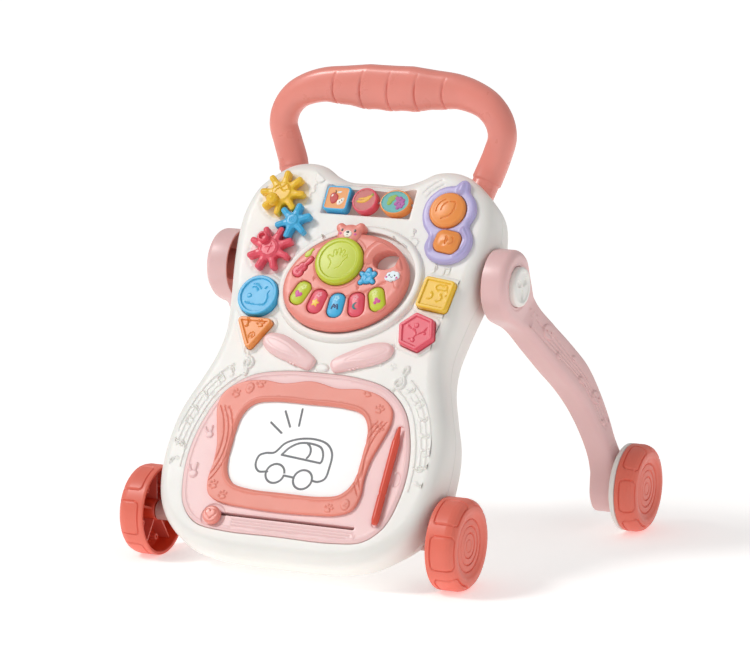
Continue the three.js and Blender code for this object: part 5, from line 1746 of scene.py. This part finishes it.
def back_fittings():
    """The battery door, the power switch and the screw heads."""
    low, _ = on_panel("rear_shell")
    z = low[2]
    ribs = [Bead([(x, up(232)), (x, up(268))], 1.0, 0.7) for x in (-24, -18, 18, 24)]
    arrow = [Bead([(-6, up(262)), (0, up(268)), (6, up(262))], 0.9, 0.7),
             Pad(rectangle(0, up(274), 9, 2.2, 1), -1, 0.6)]
    skin = plate(rectangle(0, up(250), 35.7, 25.7, 2.5), -2.5, 0, 0.7, ribs + arrow, step=3)
    facing_back(skin, z)
    piece("battery_door", skin, "white", "battery_door")

    nub_low, nub_high = on_panel("power_switch")
    x, y = (nub_low + nub_high)[:2] / 2
    skin = plate(rectangle(x, y, 2.5, 2.0, 0.5), 0, 6, 0.6,
                 [Bead([(x + k, y - 1.6), (x + k, y + 1.6)], 0.35, 0.4)
                                                            for k in (-1.4, 0, 1.4)], step=0.6,
                 fine=0.3)
    plate(rectangle(x, y, 6, 4.5, 0.6), -1.5, 0.05, 0.1, skin=skin)
    facing_back(skin, nub_high[2] - 1.5)
    piece("power_switch", skin, "red", "power_switch")

    skin = Skin()
    for sx, sy in SCREWS:
        cross = [Bead([(sx - 2, up(sy)), (sx + 2, up(sy))], 0.7, -1),
                 Bead([(sx, up(sy) - 2), (sx, up(sy) + 2)], 0.7, -1)]
        plate(circle(sx, up(sy), 3.4, 36), 0, 1.5, 0.8, cross, step=0.8, fine=0.35, skin=skin)
    facing_back(skin, z + 2.2)
    piece("rear_screws", skin, "steel", "body", covers=False)


def inner_parts():
    """What is shut inside the shells keeps its CAD shape and takes its finish."""
    for name, finish in (("battery_box", "grey"), ("circuit_board", "board"), ("speaker", "grey")):
        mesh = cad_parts[name].data
        mesh.materials.clear()
        mesh.materials.append(M[finish])


# ---------------------------------------------------------------- build

front_shell()
rear_shell()
handle()
running_gear()
for side, hand in SIDES:
    leg(side, hand)
tiles()
gears()
bear()
blocks()
music_toy()
ears()
board()
board_frame()
slider()
pen()
back_fittings()
inner_parts()

# ---------------------------------------------------------------- stage, lights and camera


def stage():
    floor = Skin()
    reach = 9000
    ring = np.array([(-reach, -reach, -0.2), (reach, -reach, -0.2), (reach, reach, -0.2),
                     (-reach, reach, -0.2)])
    floor.add(ring, [(0, 1, 2, 3)])
    mesh = bpy.data.meshes.new("floor")
    mesh.from_pydata(floor.points, [], floor.faces)
    mesh.transform(Matrix.Scale(MM, 4))
    obj = bpy.data.objects.new("floor", mesh)
    bpy.context.scene.collection.objects.link(obj)
    mesh.materials.append(plastic("floor_finish", "#fbfaf9", rough=0.7, vary=0.005, grain=0.005,
                                  coat=0, edge=0, inner=0,
                                  glow=0.4))


def lamp(name, at, target, size, power):
    light = bpy.data.lights.new(name, "AREA")
    light.shape = "DISK"
    light.size = size
    light.energy = power
    obj = bpy.data.objects.new(name, light)
    obj.location = at
    obj.rotation_mode = "QUATERNION"
    obj.rotation_quaternion = (Vector(target) - Vector(at)).to_track_quat("-Z", "Y")
    bpy.context.scene.collection.objects.link(obj)


def sun(name, direction, strength, spread, tint=(1, 1, 1)):
    light = bpy.data.lights.new(name, "SUN")
    light.energy = strength
    light.angle = math.radians(spread)
    light.color = tint
    obj = bpy.data.objects.new(name, light)
    obj.rotation_mode = "QUATERNION"
    obj.rotation_quaternion = (-Vector(direction)).to_track_quat("-Z", "Y")
    bpy.context.scene.collection.objects.link(obj)


def studio():
    sun("key", (-0.78, -0.55, 1.0), 1.15, 14, (1, 0.99, 0.975))
    sun("fill", (1.0, -0.6, 0.5), 0.08, 40)
    lamp("strip", (-1.6, -1.5, 1.5), (0, 0, 0.35), 0.8, 2.5)
    world = bpy.data.worlds.new("studio")
    world.use_nodes = True
    world.node_tree.nodes["Background"].inputs["Color"].default_value = (1, 1, 1, 1)
    world.node_tree.nodes["Background"].inputs["Strength"].default_value = 0.46
    scene = bpy.context.scene
    scene.world = world
    scene.view_settings.view_transform = "Standard"


LENS, CAMERA_AT = 168.83, (1.5621, -3.1836, 0.8806)
AZIMUTH, ELEVATION = math.radians(25.97), math.radians(10.634)


def camera():
    """Stands well back at the right of the panel, a little above it."""
    data = bpy.data.cameras.new("camera")
    data.sensor_width = 36
    data.lens = LENS
    obj = bpy.data.objects.new("camera", data)
    obj.location = CAMERA_AT
    level = math.cos(ELEVATION)
    back = Vector((math.sin(AZIMUTH) * level, -math.cos(AZIMUTH) * level, math.sin(ELEVATION)))
    obj.rotation_mode = "QUATERNION"
    obj.rotation_quaternion = (-back).to_track_quat("-Z", "Y")
    data.clip_end = 60
    bpy.context.scene.collection.objects.link(obj)
    bpy.context.scene.camera = obj


stage()
studio()
camera()
